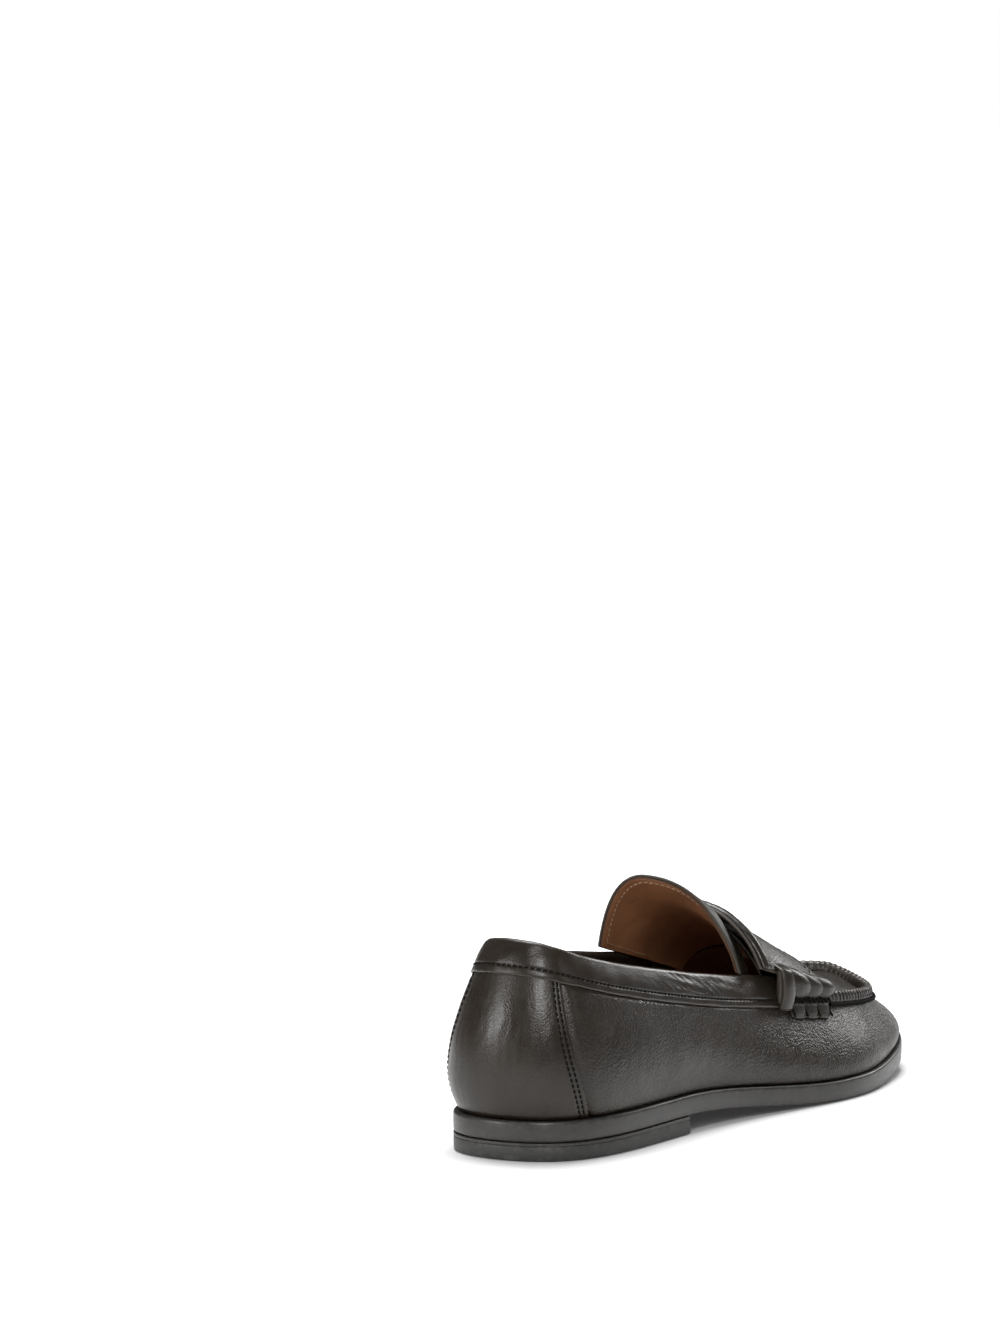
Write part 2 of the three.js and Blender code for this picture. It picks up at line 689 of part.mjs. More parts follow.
// The strap without its slot. A skin above 0 gives the room that it needs.
function strap(skin = 0) {
  const over = strapFace(STRAP_LIFT + STRAP.thickness + skin, skin);
  return sheet(over, strapFace(STRAP_LIFT - skin, skin));
}
function saddleStrap() {
  const along = steps(SLOT.arch - SLOT.height / 2, SLOT.arch + SLOT.height / 2, 2);
  const across = steps(-SLOT.length, SLOT.length, 6);
  const face = (lift) => grid(along, across, (arch, a) => instep(arch, a, lift));
  const slot = sheet(face(STRAP_LIFT + STRAP.thickness + 1), face(STRAP_LIFT - 1));
  return cut(strap(), slot);
}

// Pleated roll that binds one end of the strap to the rim.
function beefRoll(side) {
  const from = COLLAR_END + 0.02;
  const to = TOE - STRAP.front + 0.02;
  const place = (t) => {
    const station = lerp(from, to, t);
    return side < 0 ? station : TOE + MEDIAL_STEP * (TOE - station);
  };
  const face = (outer) =>
    steps(0, 1, 20).map((t) => {
      const u = place(t);
      const lobe = Math.abs(Math.sin(Math.PI * t * ROLL.pleats));
      const out = outward(u);
      const low = upperAt(u, 1 - ROLL.drop / 24, -GAP);
      const top = rim(u).addScaledVector(out, STRAP_LIFT + STRAP.thickness - 1);
      top.z += ROLL.height - 2;
      return steps(0, 1, 6).map((b) => {
        const p = low.clone().lerp(top, b);
        const full = Math.sin(Math.PI * b) ** 0.6;
        const bulge = outer ? 0.8 + (ROLL.bulge * 0.55 + ROLL.lobe * lobe) * full : -ROLL.back;
        return p.addScaledVector(out, bulge);
      });
    });
  return sheet(face(true), face(false));
}

function tongueFace(depth) {
  const shares = steps(0, 1, 6);
  const across = steps(-1, 1, 14);
  return grid(shares, across, (t, a) => {
    const share = TONGUE.edge * Math.sin((a * Math.PI) / 2);
    const tip = TONGUE.tip + TONGUE.skew * share - TONGUE.round * share ** 2;
    return instep(lerp(TONGUE.front, tip, t), share, -depth, TONGUE.inset);
  });
}

// ---- Assembly ----
buildBottom();
buildUpper();
add("collar", collar(), brown());
add("apron", apron(), brown());
add("seam_thread", seamThread(), material(0x171513, 0.8));
add("saddle_strap", saddleStrap(), brown());
const clearOf = [strap(GAP), vamp(GAP)];
add("strap_roll_lateral", cut(beefRoll(-1), ...clearOf), brown());
add("strap_roll_medial", cut(beefRoll(1), ...clearOf), brown());
add("tongue", sheet(tongueFace(0), tongueFace(LEATHER)), brown());
const tongueUnder = LEATHER + GAP;
const tongueLining = sheet(tongueFace(tongueUnder), tongueFace(tongueUnder + TONGUE.lining));
add("tongue_lining", tongueLining, liningBrown());

const box = new THREE.Box3().setFromObject(loafer);
const centre = box.getCenter(new THREE.Vector3());
loafer.position.set(-centre.x, -centre.y, -box.min.z);

const shoe = new THREE.Group();
shoe.add(loafer);
export default shoe;
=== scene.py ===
"""A penny loafer for the right foot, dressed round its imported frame.

Every piece is drawn on one smooth form in millimetres, whose x runs from the heel's back to the
toe, y from the outer to the inner side and z up from the ground, and is then moved into the
frame's own place in metres. Places round the shoe are stations along the sole's outline: 0 is the
heel's back, 1 to 9 go forward on the outer side, 9.55 is the toe, and 10 to 18 come back on the
inner side. An arch number says how far behind the toe a line across the instep stands.
"""

from __future__ import annotations

import logging
import math
from dataclasses import dataclass, field
from enum import Enum
from typing import Callable, Optional, Sequence

import bmesh
import bpy
import numpy as np
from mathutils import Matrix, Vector


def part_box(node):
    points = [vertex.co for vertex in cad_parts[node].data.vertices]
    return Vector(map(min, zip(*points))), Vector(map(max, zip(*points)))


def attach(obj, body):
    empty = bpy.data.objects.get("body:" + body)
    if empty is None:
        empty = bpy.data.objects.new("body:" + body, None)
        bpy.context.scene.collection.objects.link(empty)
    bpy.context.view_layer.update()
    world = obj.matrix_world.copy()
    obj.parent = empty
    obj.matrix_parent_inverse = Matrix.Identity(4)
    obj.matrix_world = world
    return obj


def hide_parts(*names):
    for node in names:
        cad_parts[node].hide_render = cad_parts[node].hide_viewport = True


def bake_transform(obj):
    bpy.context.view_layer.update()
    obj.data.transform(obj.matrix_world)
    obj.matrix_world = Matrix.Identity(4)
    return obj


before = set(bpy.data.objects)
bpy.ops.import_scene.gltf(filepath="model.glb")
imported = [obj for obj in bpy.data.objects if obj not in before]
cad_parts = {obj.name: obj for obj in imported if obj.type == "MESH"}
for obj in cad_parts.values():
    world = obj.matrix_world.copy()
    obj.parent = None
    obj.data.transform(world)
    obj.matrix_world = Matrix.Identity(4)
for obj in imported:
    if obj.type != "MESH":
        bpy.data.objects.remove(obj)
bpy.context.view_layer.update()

Array = np.ndarray
LOG = logging.getLogger("loafer")
UP = np.array([0.0, 0.0, 1.0])
MILLIMETRE = 0.001

# Outline of the sole: share of its length and of its width, one row a station.
OUTLINE = np.array([
    (-0.007, 0), (0.017, -0.256), (0.114, -0.359), (0.259, -0.355), (0.397, -0.37),
    (0.534, -0.451), (0.672, -0.543), (0.8, -0.457), (0.917, -0.349), (1, -0.083),
    (1.007, 0.146), (0.938, 0.374), (0.821, 0.479), (0.69, 0.499), (0.552, 0.416),
    (0.397, 0.302), (0.259, 0.312), (0.114, 0.359), (0.017, 0.256),
])
# Top of the upper's wall: inset from the outline in mm, and share of the back height.
WALL_TOP = np.array([
    (7, 0.993), (6.5, 0.965), (7, 0.854), (4.5, 0.736), (4, 0.632), (11, 0.556),
    (16, 0.493), (10.5, 0.444), (12.5, 0.41), (20, 0.472), (21, 0.486), (16, 0.486),
    (13, 0.507), (12.5, 0.549), (9, 0.618), (2, 0.715), (3, 0.792), (7.5, 0.889), (9, 0.972),
])
# How far the wall swells outwards above its foot, in mm.
SWELL = np.array([10.5, 10, 8, 5, 5, 5, 5, 5, 5, 6, 6, 5, 5, 5, 6, 8, 8, 9, 11.0])
STATIONS = len(OUTLINE)
TOE = 9.55
MEDIAL_STEP = 0.985  # inner stations for one outer station
GAP = 0.3  # between pieces that lie on each other, in mm


def smooth(value: Array | float, start: float, end: float) -> Array:
    """Smooth step from 0 at start to 1 at end."""
    t = np.clip((np.asarray(value, float) - start) / (end - start), 0, 1)
    return t * t * (3 - 2 * t)


def crowded(count: int) -> Array:
    """Numbers from -1 to 1 that stand closer together towards both ends."""
    return np.sin(np.linspace(-1, 1, count) * math.pi / 2)


def run_length(points: Array) -> Array:
    """Length along a line of points, up to each of them."""
    return np.concatenate([[0], np.cumsum(np.linalg.norm(np.diff(points, axis=0), axis=1))])


def unit(vectors: Array) -> Array:
    """Vectors along the last axis, each of length 1."""
    return vectors / np.maximum(np.linalg.norm(vectors, axis=-1, keepdims=True), 1e-12)


def ripple(a: Array, b: Array, seed: int, waves: int = 7) -> Array:
    """Soft irregular waves over two coordinates.

    Args:
        a: First coordinate, in units of about one wave.
        b: Second coordinate, in the same units.
        seed: Choice of the waves.
        waves: How many waves are added up.

    Returns:
        Values of about -1 to 1, of the same shape as a and b together.
    """
    rng = np.random.default_rng(seed)
    total = 0
    for _ in range(waves):
        turn, size, phase = rng.uniform(0, 2 * math.pi), rng.uniform(0.6, 1.7), rng.uniform(0, 7)
        total = total + np.sin(size * (a * math.cos(turn) + b * math.sin(turn)) * 2.6 + phase)
    return total / math.sqrt(waves) / 1.6


def closed_spline(values: Array, u: Array | float) -> Array:
    """Closed cubic B-spline over rows of values.

    Args:
        values: One row (or number) a station.
        u: Stations.

    Returns:
        The curve's values at u.
    """
    u = np.asarray(u, float)
    first = np.floor(u).astype(int)
    f = u - first
    weights = (
        (1 - f) ** 3 / 6,
        (3 * f**3 - 6 * f**2 + 4) / 6,
        (-3 * f**3 + 3 * f**2 + 3 * f + 1) / 6,
        f**3 / 6,
    )
    total = 0
    for k, weight in enumerate(weights):
        rows = values[(first + k - 1) % len(values)]
        total = total + (weight[..., None] * rows if values.ndim > 1 else weight * rows)
    return total


@dataclass(frozen=True)
class Form:
    """The smooth body that the shoe is lasted on, in millimetres."""

    length: float = 290.0
    width: float = 99.4
    back_height: float = 72.0
    tongue_rise: float = 44.5
    toe_rise: float = 2.0
    sole_thickness: float = 7.9
    heel_height: float = 7.0
    heel_breast: float = 84.6
    tread_start: float = 185.0
    toe_spring: float = 11.0
    spring_start: float = 200.0
    feather_inset: float = 2.2
    collar_height: float = 12.5

    def outline(self, u: Array | float) -> Array:
        """Level outline of the sole at stations u."""
        flat = closed_spline(OUTLINE * (self.length, self.width), u)
        return np.concatenate([flat, np.zeros_like(flat[..., :1])], -1)

    def outward(self, u: Array | float) -> Array:
        """Outward level direction of the outline at stations u."""
        u = np.asarray(u, float)
        t = self.outline(u + 0.001) - self.outline(u - 0.001)
        return unit(np.stack([t[..., 1], -t[..., 0], np.zeros_like(t[..., 0])], -1))

    def sole_under(self, x: Array | float) -> Array:
        """Height of the outsole's under face at x."""
        drop = smooth(x, self.heel_breast, self.tread_start)
        reach = (np.asarray(x, float) - self.spring_start) / (self.length - self.spring_start)
        return self.heel_height * (1 - drop) + self.toe_spring * np.clip(reach, 0, 1.1) ** 2

    def sole_top(self, x: Array | float) -> Array:
        """Height of the outsole's upper face at x."""
        return self.sole_under(x) + self.sole_thickness

    def feather(self, u: Array | float, inwards: float = 0.0) -> Array:
        """Foot of the upper where it leaves the sole, moved inwards by some millimetres."""
        p = self.outline(u) - self.outward(u) * (self.feather_inset + inwards)
        p[..., 2] = self.sole_top(p[..., 0]) + GAP
        return p

    def rim(self, u: Array | float) -> Array:
        """Top of the wall at stations u."""
        points = OUTLINE * (self.length, self.width)
        along = unit(np.roll(points, -1, 0) - np.roll(points, 1, 0))
        flat = points + WALL_TOP[:, :1] * np.stack([-along[:, 1], along[:, 0]], -1)
        table = np.concatenate([flat, WALL_TOP[:, 1:] * self.back_height], -1)
        return closed_spline(table, u)

    def wall(self, u: Array, h: Array) -> Array:
        """Outer face of the upper.

        Args:
            u: Stations.
            h: 0 at the sole, 1 at the rim, and one more for the collar's whole height.

        Returns:
            Points, of the shape of u and h together.
        """
        u, h = np.broadcast_arrays(np.asarray(u, float), np.asarray(h, float))
        foot, top, out = self.feather(u), self.rim(u), self.outward(u)
        swell = closed_spline(SWELL, u)[..., None]
        rise = (top - foot)[..., 2:] * UP
        low = foot + out * swell + rise * 0.34
        high = top + out * swell * 0.5 - rise * 0.27
        t = np.clip(h, -0.2, 1)[..., None]
        over = np.clip(h - 1, 0, None)[..., None]
        curve = foot * (1 - t) ** 3 + low * 3 * t * (1 - t) ** 2
        curve = curve + high * 3 * t * t * (1 - t) + top * t**3
        return curve + unit(top - high) * over * self.collar_height - out * 0.8 * over**2

    def wall_normal(self, u: Array, h: Array) -> Array:
        """Outward direction square to the wall's face."""
        along = self.wall(u + 0.01, h) - self.wall(u - 0.01, h)
        up = self.wall(u, h + 0.005) - self.wall(u, h - 0.005)
        normal = unit(np.cross(up, along))
        side = np.sum(normal * self.outward(u), -1, keepdims=True)
        return np.where(side < 0, -normal, normal)

    def wall_at(self, u: Array, h: Array, depth: Array | float) -> Array:
        """The wall's face moved inwards by a depth, square to itself."""
        u, h, depth = np.broadcast_arrays(*(np.asarray(v, float) for v in (u, h, depth)))
        return self.wall(u, h) - self.wall_normal(u, h) * depth[..., None]

    def instep_face(self, arch: Array, across: Array, inset: Array | float) -> Array:
        """Outer face of the instep before it is moved square to itself."""
        outer, inner = self.rim(TOE - arch), self.rim(TOE + MEDIAL_STEP * arch)
        middle, half = (outer + inner) / 2, (inner - outer) / 2
        width = np.hypot(half[..., 0], half[..., 1])
        half = half * ((width - inset) / width)[..., None]
        x = middle[..., 0]
        back = np.clip((0.948 * self.length - x) / (0.548 * self.length), 0, 1.2)
        rise = self.toe_rise + (self.tongue_rise - self.toe_rise) * back**1.5
        fullness = np.clip(0.5 + (x - 0.586 * self.length) / (0.62 * self.length), 0.5, 0.95)
        crown = rise * np.maximum(0, 1 - across * across) ** fullness
        return middle + half * across[..., None] + crown[..., None] * UP

    def instep(
        self, arch: Array, across: Array, lift: Array | float = 0.0, inset: Array | float = 0.0
    ) -> Array:
        """Face over the instep, moved up square to itself.

        Args:
            arch: How far behind the toe the two feet of the line stand, in stations.
            across: Place across, from -1 at the outer side to 1 at the inner side.
            lift: How far above the face, in mm.
            inset: How far in from the rim both feet stand, in mm.

        Returns:
            Points, of the shape of the arguments together.
        """
        arch, across, lift, inset = np.broadcast_arrays(
            *(np.asarray(v, float) for v in (arch, across, lift, inset))
        )
        t = np.clip(across, -0.985, 0.985)
        along = self.instep_face(arch + 0.01, t, inset) - self.instep_face(arch - 0.01, t, inset)
        over = self.instep_face(arch, t + 0.01, inset) - self.instep_face(arch, t - 0.01, inset)
        normal = unit(np.cross(along, over))
        normal = np.where(normal[..., 2:] < 0, -normal, normal)
        return self.instep_face(arch, across, inset) + normal * lift[..., None]


FORM = Form()


# ---- Finishes ----


class Recipe:
    """Node tree of one finish, with a principled shader at its end."""

    FIRST_COLOUR, SECOND_COLOUR, MIXED_COLOUR = 6, 7, 2  # a colour mix node's sockets

    def __init__(self, name: str) -> None:
        """Starts an empty finish of that name."""
        self.material = bpy.data.materials.new(name)
        self.material.use_nodes = True
        self.tree = self.material.node_tree
        self.shader = self.tree.nodes["Principled BSDF"]
        self.place = self.tree.nodes.new("ShaderNodeTexCoord").outputs["Object"]

    def put(self, socket: bpy.types.NodeSocket, value: object) -> None:
        """Links an output to a socket, or sets the socket to a plain value."""
        if isinstance(value, bpy.types.NodeSocket):
            self.tree.links.new(value, socket)
        else:
            socket.default_value = value

    def set(self, **values: object) -> None:
        """Sets the shader's sockets; an underscore in a name stands for a space."""
        for name, value in values.items():
            self.put(self.shader.inputs[name.replace("_", " ")], value)

    def stretched(self, scale: Sequence[float]) -> bpy.types.NodeSocket:
        """Object coordinates with their own scale on each axis."""
        node = self.tree.nodes.new("ShaderNodeMapping")
        self.put(node.inputs["Vector"], self.place)
        node.inputs["Scale"].default_value = scale
        return node.outputs["Vector"]

    def noise(
        self, scale: float, detail: float = 4.0, roughness: float = 0.55,
        place: Optional[bpy.types.NodeSocket] = None,
    ) -> bpy.types.NodeSocket:
        """Cloudy noise of that scale, 0 to 1."""
        node = self.tree.nodes.new("ShaderNodeTexNoise")
        self.put(node.inputs["Vector"], place or self.place)
        node.inputs["Scale"].default_value = scale
        node.inputs["Detail"].default_value = detail
        node.inputs["Roughness"].default_value = roughness
        return node.outputs["Fac"]

    def cells(self, scale: float) -> bpy.types.NodeSocket:
        """Distance inside rounded cells, as in pebbled leather."""
        node = self.tree.nodes.new("ShaderNodeTexVoronoi")
        self.put(node.inputs["Vector"], self.place)
        node.inputs["Scale"].default_value = scale
        return node.outputs["Distance"]

    def math(self, kind: str, a: object, b: object = 0.0) -> bpy.types.NodeSocket:
        """One sum of two values or outputs."""
        node = self.tree.nodes.new("ShaderNodeMath")
        node.operation = kind
        self.put(node.inputs[0], a)
        self.put(node.inputs[1], b)
        return node.outputs[0]

    def ranged(
        self, value: object, low: float, high: float, to: Sequence[float]
    ) -> bpy.types.NodeSocket:
        """Maps low to high onto the two numbers of to, clamped."""
        node = self.tree.nodes.new("ShaderNodeMapRange")
        self.put(node.inputs["Value"], value)
        node.inputs["From Min"].default_value = low
        node.inputs["From Max"].default_value = high
        node.inputs["To Min"].default_value = to[0]
        node.inputs["To Max"].default_value = to[1]
        return node.outputs["Result"]

    def mix(self, share: object, a: object, b: object) -> bpy.types.NodeSocket:
        """Colour between a and b by a share."""
        node = self.tree.nodes.new("ShaderNodeMix")
        node.data_type = "RGBA"
        self.put(node.inputs[0], share)
        for socket, colour in ((self.FIRST_COLOUR, a), (self.SECOND_COLOUR, b)):
            linked = isinstance(colour, bpy.types.NodeSocket)
            self.put(node.inputs[socket], colour if linked else (*colour, 1))
        return node.outputs[self.MIXED_COLOUR]

    def painted(self, name: str) -> bpy.types.NodeSocket:
        """A value that the mesh's own points carry."""
        node = self.tree.nodes.new("ShaderNodeAttribute")
        node.attribute_name = name
        return node.outputs["Fac"]

    def sum(self, a: object, b: object, share: float = 1.0) -> bpy.types.NodeSocket:
        """The first value and a share of the second one."""
        return self.math("ADD", a, b if share == 1.0 else self.math("MULTIPLY", b, share))

    def bump(self, height: object, distance: float) -> None:
        """Gives the shader a relief of that height, distance in metres."""
        node = self.tree.nodes.new("ShaderNodeBump")
        node.inputs["Strength"].default_value = 1.0
        node.inputs["Distance"].default_value = distance
        self.put(node.inputs["Height"], height)
        self.put(self.shader.inputs["Normal"], node.outputs["Normal"])


class Slot(Enum):
    """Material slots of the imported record."""

    UPPER = "upper_leather"
    LINING = "lining_leather"
    BOARD = "fibre_board"
    STEEL = "steel"
    SOLE = "sole_rubber"
    STACK = "heel_stack"
    TOP_PIECE = "heel_rubber"
    CORK = "cork_filler"
    FOAM = "foam"
    THREAD = "waxed_thread"


CUT_EDGE = (0.55, 0.95)  # where the colour of a cut edge begins and is full


class Grain(Enum):
    """How strongly the leather's grain stands: cell scale, relief in metres, wrinkle share."""

    SMOOTH = (1350.0, 0.00017, 0.75)
    FINE = (980.0, 0.00021, 0.25)
    COARSE = (780.0, 0.00042, 0.12)


@dataclass(frozen=True)
class Leather:
    """Dark brown polished calf with a pebbled or smooth grain."""

    name: str
    grain: Grain
    dark: tuple[float, float, float] = (0.0105, 0.0074, 0.005)
    light: tuple[float, float, float] = (0.022, 0.0162, 0.0112)
    cut: tuple[float, float, float] = (0.06, 0.049, 0.039)
    gloss: tuple[float, float] = (0.30, 0.46)
    wrinkle_scale: tuple[float, float, float] = (190.0, 190.0, 760.0)
    coarseness: tuple[float, float] = (0.4, 1.45)
    slot: Slot = Slot.UPPER

    def material(self) -> bpy.types.Material:
        """Makes the finish."""
        r = Recipe(self.name)
        scale, relief, wrinkled = self.grain.value
        pebbles = r.ranged(r.cells(scale), 0.0, 0.75, (1.0, 0.0))
        fine = r.cells(scale * 2.3)
        lines = r.noise(1.0, 5.0, 0.62, r.stretched(self.wrinkle_scale))
        clouds = r.noise(38.0, 3.0)
        height = r.sum(r.math("MULTIPLY", pebbles, 1 - wrinkled * 0.6), lines, wrinkled)
        height = r.math("SUBTRACT", height, r.math("MULTIPLY", fine, 0.3))
        depth = r.ranged(r.painted("coarse"), 0.0, 1.0, self.coarseness)
        r.bump(r.math("MULTIPLY", height, depth), relief)
        tone = r.ranged(r.sum(clouds, r.noise(420.0), 0.25), 0.42, 0.86, (0.0, 1.0))
        # Lighter towards the cut-edge colour by a value painted on the points: rub wear on edges
        # and pads, and a painted highlight along the apron ridge's top and the strap's rear fold.
        rub_and_highlight = r.math("MULTIPLY", r.painted("worn"), r.noise(260.0, 3.0))
        colour = r.mix(tone, self.dark, self.light)
        colour = r.mix(r.ranged(rub_and_highlight, 0.12, 0.5, (0.0, 0.6)), colour, self.cut)
        edge = r.ranged(r.painted("cut_edge"), *CUT_EDGE, (0.0, 1.0))
        r.set(
            Base_Color=r.mix(edge, colour, self.cut),
            Roughness=r.ranged(r.sum(r.noise(95.0, 4.0), edge, 0.3), 0.3, 0.72, self.gloss),
            Specular_IOR_Level=0.38,
            Coat_Weight=0.08,
            Coat_Roughness=0.2,
        )
        return r.material


@dataclass(frozen=True)
class LiningLeather:
    """Matt tan lining, with painted shade that darkens it low in the wall, under the apron and the
    strap, and towards the tongue's root and outer side.
    """

    name: str = "lining_leather"
    deep: tuple[float, float, float] = (0.19, 0.078, 0.034)
    warm: tuple[float, float, float] = (0.42, 0.2, 0.095)
    shaded: tuple[float, float, float] = (0.05, 0.02, 0.009)
    cut: tuple[float, float, float] = (0.022, 0.012, 0.008)
    slot: Slot = Slot.LINING

    def material(self) -> bpy.types.Material:
        """Makes the finish."""
        r = Recipe(self.name)
        clouds = r.noise(30.0, 5.0, 0.6)
        pores = r.cells(1700.0)
        tone = r.ranged(r.sum(clouds, r.noise(900.0), 0.2), 0.35, 0.8, (0.0, 1.0))
        colour = r.mix(tone, self.deep, self.warm)
        colour = r.mix(r.ranged(r.painted("shade"), 0.0, 1.0, (0.0, 0.9)), colour, self.shaded)
        edge = r.ranged(r.painted("cut_edge"), *CUT_EDGE, (0.0, 0.8))
        r.set(
            Base_Color=r.mix(edge, colour, self.cut),
            Roughness=r.ranged(clouds, 0.3, 0.7, (0.5, 0.66)),
            Specular_IOR_Level=0.35,
        )
        r.bump(r.sum(pores, r.noise(300.0), 0.8), 0.00006)
        return r.material


@dataclass(frozen=True)
class Moulded:
    """Moulded rubber or stacked board of the bottom, with a satin buffed edge."""

    name: str
    dark: tuple[float, float, float]
    light: tuple[float, float, float]
    gloss: tuple[float, float]
    slot: Slot
    scuffed: float = 0.5

    def material(self) -> bpy.types.Material:
        """Makes the finish."""
        r = Recipe(self.name)
        clouds = r.noise(60.0, 5.0, 0.6)
        buffing = r.noise(1.0, 4.0, 0.6, r.stretched((120.0, 120.0, 2600.0)))
        specks = r.noise(2200.0, 2.0)
        tone = r.math("ADD", r.math("MULTIPLY", clouds, 0.6), r.math("MULTIPLY", buffing, 0.4))
        colour = r.mix(r.ranged(tone, 0.36, 0.66, (0.0, 1.0)), self.dark, self.light)
        patches = r.ranged(r.noise(340.0, 5.0), 0.45, 0.7, (0.0, self.scuffed))
        scuff = r.math("MULTIPLY", r.painted("worn"), patches)
        lighter = tuple(min(1.0, 2.4 * c) for c in self.light)
        r.set(
            Base_Color=r.mix(scuff, colour, lighter),
            Roughness=r.ranged(r.sum(buffing, scuff, 0.5), 0.3, 0.8, self.gloss),
        )
        r.bump(r.sum(buffing, specks, 0.35), 0.00005)
        return r.material


@dataclass(frozen=True)
class Thread:
    """Waxed twisted thread."""

    name: str = "waxed_thread"
    # Near-black: the thread's own dark colour, darkened further as painted shade so that the
    # stitches also read as shadowed stitch holes.
    colour: tuple[float, float, float] = (0.0022, 0.0019, 0.0016)
    bright: tuple[float, float, float] = (0.0065, 0.0055, 0.0046)
    slot: Slot = Slot.THREAD

    def material(self) -> bpy.types.Material:
        """Makes the finish."""
        r = Recipe(self.name)
        twist = r.noise(2600.0, 2.0)
        r.set(
            Base_Color=r.mix(r.ranged(twist, 0.4, 0.62, (0.0, 1.0)), self.colour, self.bright),
            Roughness=r.ranged(twist, 0.3, 0.7, (0.7, 0.9)),
            Specular_IOR_Level=0.12,
        )
        r.bump(twist, 0.00005)
        return r.material


@dataclass(frozen=True)
class Core:
    """A hidden layer's finish: board, steel, cork or foam."""

    name: str
    dark: tuple[float, float, float]
    light: tuple[float, float, float]
    rough: float
    scale: float
    slot: Slot
    metal: float = 0.0

    def material(self) -> bpy.types.Material:
        """Makes the finish."""
        r = Recipe(self.name)
        grit = r.noise(self.scale, 6.0, 0.65)
        fibres = r.cells(self.scale * 1.7)
        r.set(
            Base_Color=r.mix(r.ranged(grit, 0.35, 0.65, (0.0, 1.0)), self.dark, self.light),
            Roughness=r.ranged(fibres, 0.0, 0.8, (self.rough - 0.08, self.rough + 0.06)),
            Metallic=self.metal,
        )
        r.bump(r.sum(grit, fibres), 0.0001)
        return r.material


UPPER_FINE = Leather("calf_fine_grain", Grain.FINE)
UPPER_SMOOTH = Leather("calf_smooth", Grain.SMOOTH, gloss=(0.26, 0.4))
UPPER_COARSE = Leather("calf_coarse_grain", Grain.COARSE, gloss=(0.34, 0.52))
LINING = LiningLeather()
THREAD = Thread()
LINING_THREAD = Thread("lining_thread", (0.34, 0.22, 0.14), (0.5, 0.36, 0.25))


# ---- Meshes ----


@dataclass
class Skin:
    """A closed mesh while it is built: points in mm, faces, and values that its points carry."""

    points: Array
    faces: list[tuple[int, ...]]
    values: dict[str, Array] = field(default_factory=dict)

    def outwards(self) -> "Skin":
        """The same mesh with its faces turned outwards."""
        volume = 0.0
        for face in self.faces:
            p = self.points[list(face)]
            volume += float(np.sum(np.cross(p[1:-1] - p[0], p[2:] - p[0]) @ p[0]))
        if volume < 0:
            self.faces = [face[::-1] for face in self.faces]
        return self


def shell(
    outer: Array, inner: Array, rings: int = 3, hole: Optional[Array] = None,
    paint: Optional[dict[str, Array]] = None,
) -> Skin:
    """Closes two grids of points into a sheet with rounded cut edges.

    Args:
        outer: Rows by columns of points on the outer face.
        inner: The same on the inner face.
        rings: How many rings of points round each cut edge.
        hole: Cells that are left out, as rows less one by columns less one of truths.
        paint: Values on the grid that the points carry.

    Returns:
        The closed mesh. Its points carry cut_edge, which is 1 round the cut edges.
    """
    rows, columns = outer.shape[:2]
    count = rows * columns
    index = np.arange(count).reshape(rows, columns)
    cells = np.stack([index[:-1, :-1], index[:-1, 1:], index[1:, 1:], index[1:, :-1]], -1)
    cells = cells[~hole] if hole is not None else cells.reshape(-1, 4)
    tail, head = cells.ravel(), np.roll(cells, -1, 1).ravel()
    owner = np.repeat(np.arange(len(cells)), 4)
    free = ~np.isin(tail * count + head, head * count + tail)
    tail, head, owner = tail[free], head[free], owner[free]
    top, under = outer.reshape(-1, 3), inner.reshape(-1, 3)
    middle, half = (top + under) / 2, (top - under) / 2
    centre = middle[cells].mean(1)[owner]
    run = unit(middle[head] - middle[tail])
    away = (middle[head] + middle[tail]) / 2 - centre
    away = unit(away - run * np.sum(away * run, -1, keepdims=True))
    push = np.zeros_like(top)
    np.add.at(push, tail, away)
    np.add.at(push, head, away)
    border = np.unique(np.concatenate([tail, head]))
    push = unit(push[border])
    size = np.linalg.norm(half[border], axis=-1, keepdims=True)
    layers = [top, under]
    for k in range(1, rings + 1):
        angle = math.pi * k / (rings + 1)
        lifted = half[border] * math.cos(angle) + push * size * math.sin(angle)
        layers.append(middle[border] + lifted)
    where = np.zeros(count, int)
    where[border] = np.arange(len(border))
    faces = [tuple(c) for c in cells.tolist()]
    faces += [tuple(c) for c in (cells[:, ::-1] + count).tolist()]
    places = np.arange(count)
    rounds = [2 * count + k * len(border) + where for k in range(rings)]
    levels = [places, *rounds, places + count]
    for here, after in zip(levels, levels[1:]):
        strip = np.stack([here[head], here[tail], after[tail], after[head]], -1)
        faces += [tuple(c) for c in strip.tolist()]
    points = np.concatenate(layers)
    ring_count = rings * len(border)
    values = {"cut_edge": np.concatenate([np.zeros(2 * count), np.ones(ring_count)])}
    for name, grid in (paint or {}).items():
        flat = np.broadcast_to(grid, (rows, columns)).ravel()
        values[name] = np.concatenate([flat, flat, np.tile(flat[border], rings)])
    return Skin(points, faces, values).outwards()


def ring_faces(rings: int, size: int) -> list[tuple[int, ...]]:
    """Faces between neighbouring rings of points, each ring closed on itself."""
    faces = []
    for k in range(rings - 1):
        for here in range(size):
            after = (here + 1) % size
            low, high = k * size, (k + 1) * size
            faces.append((low + here, low + after, high + after, high + here))
    return faces


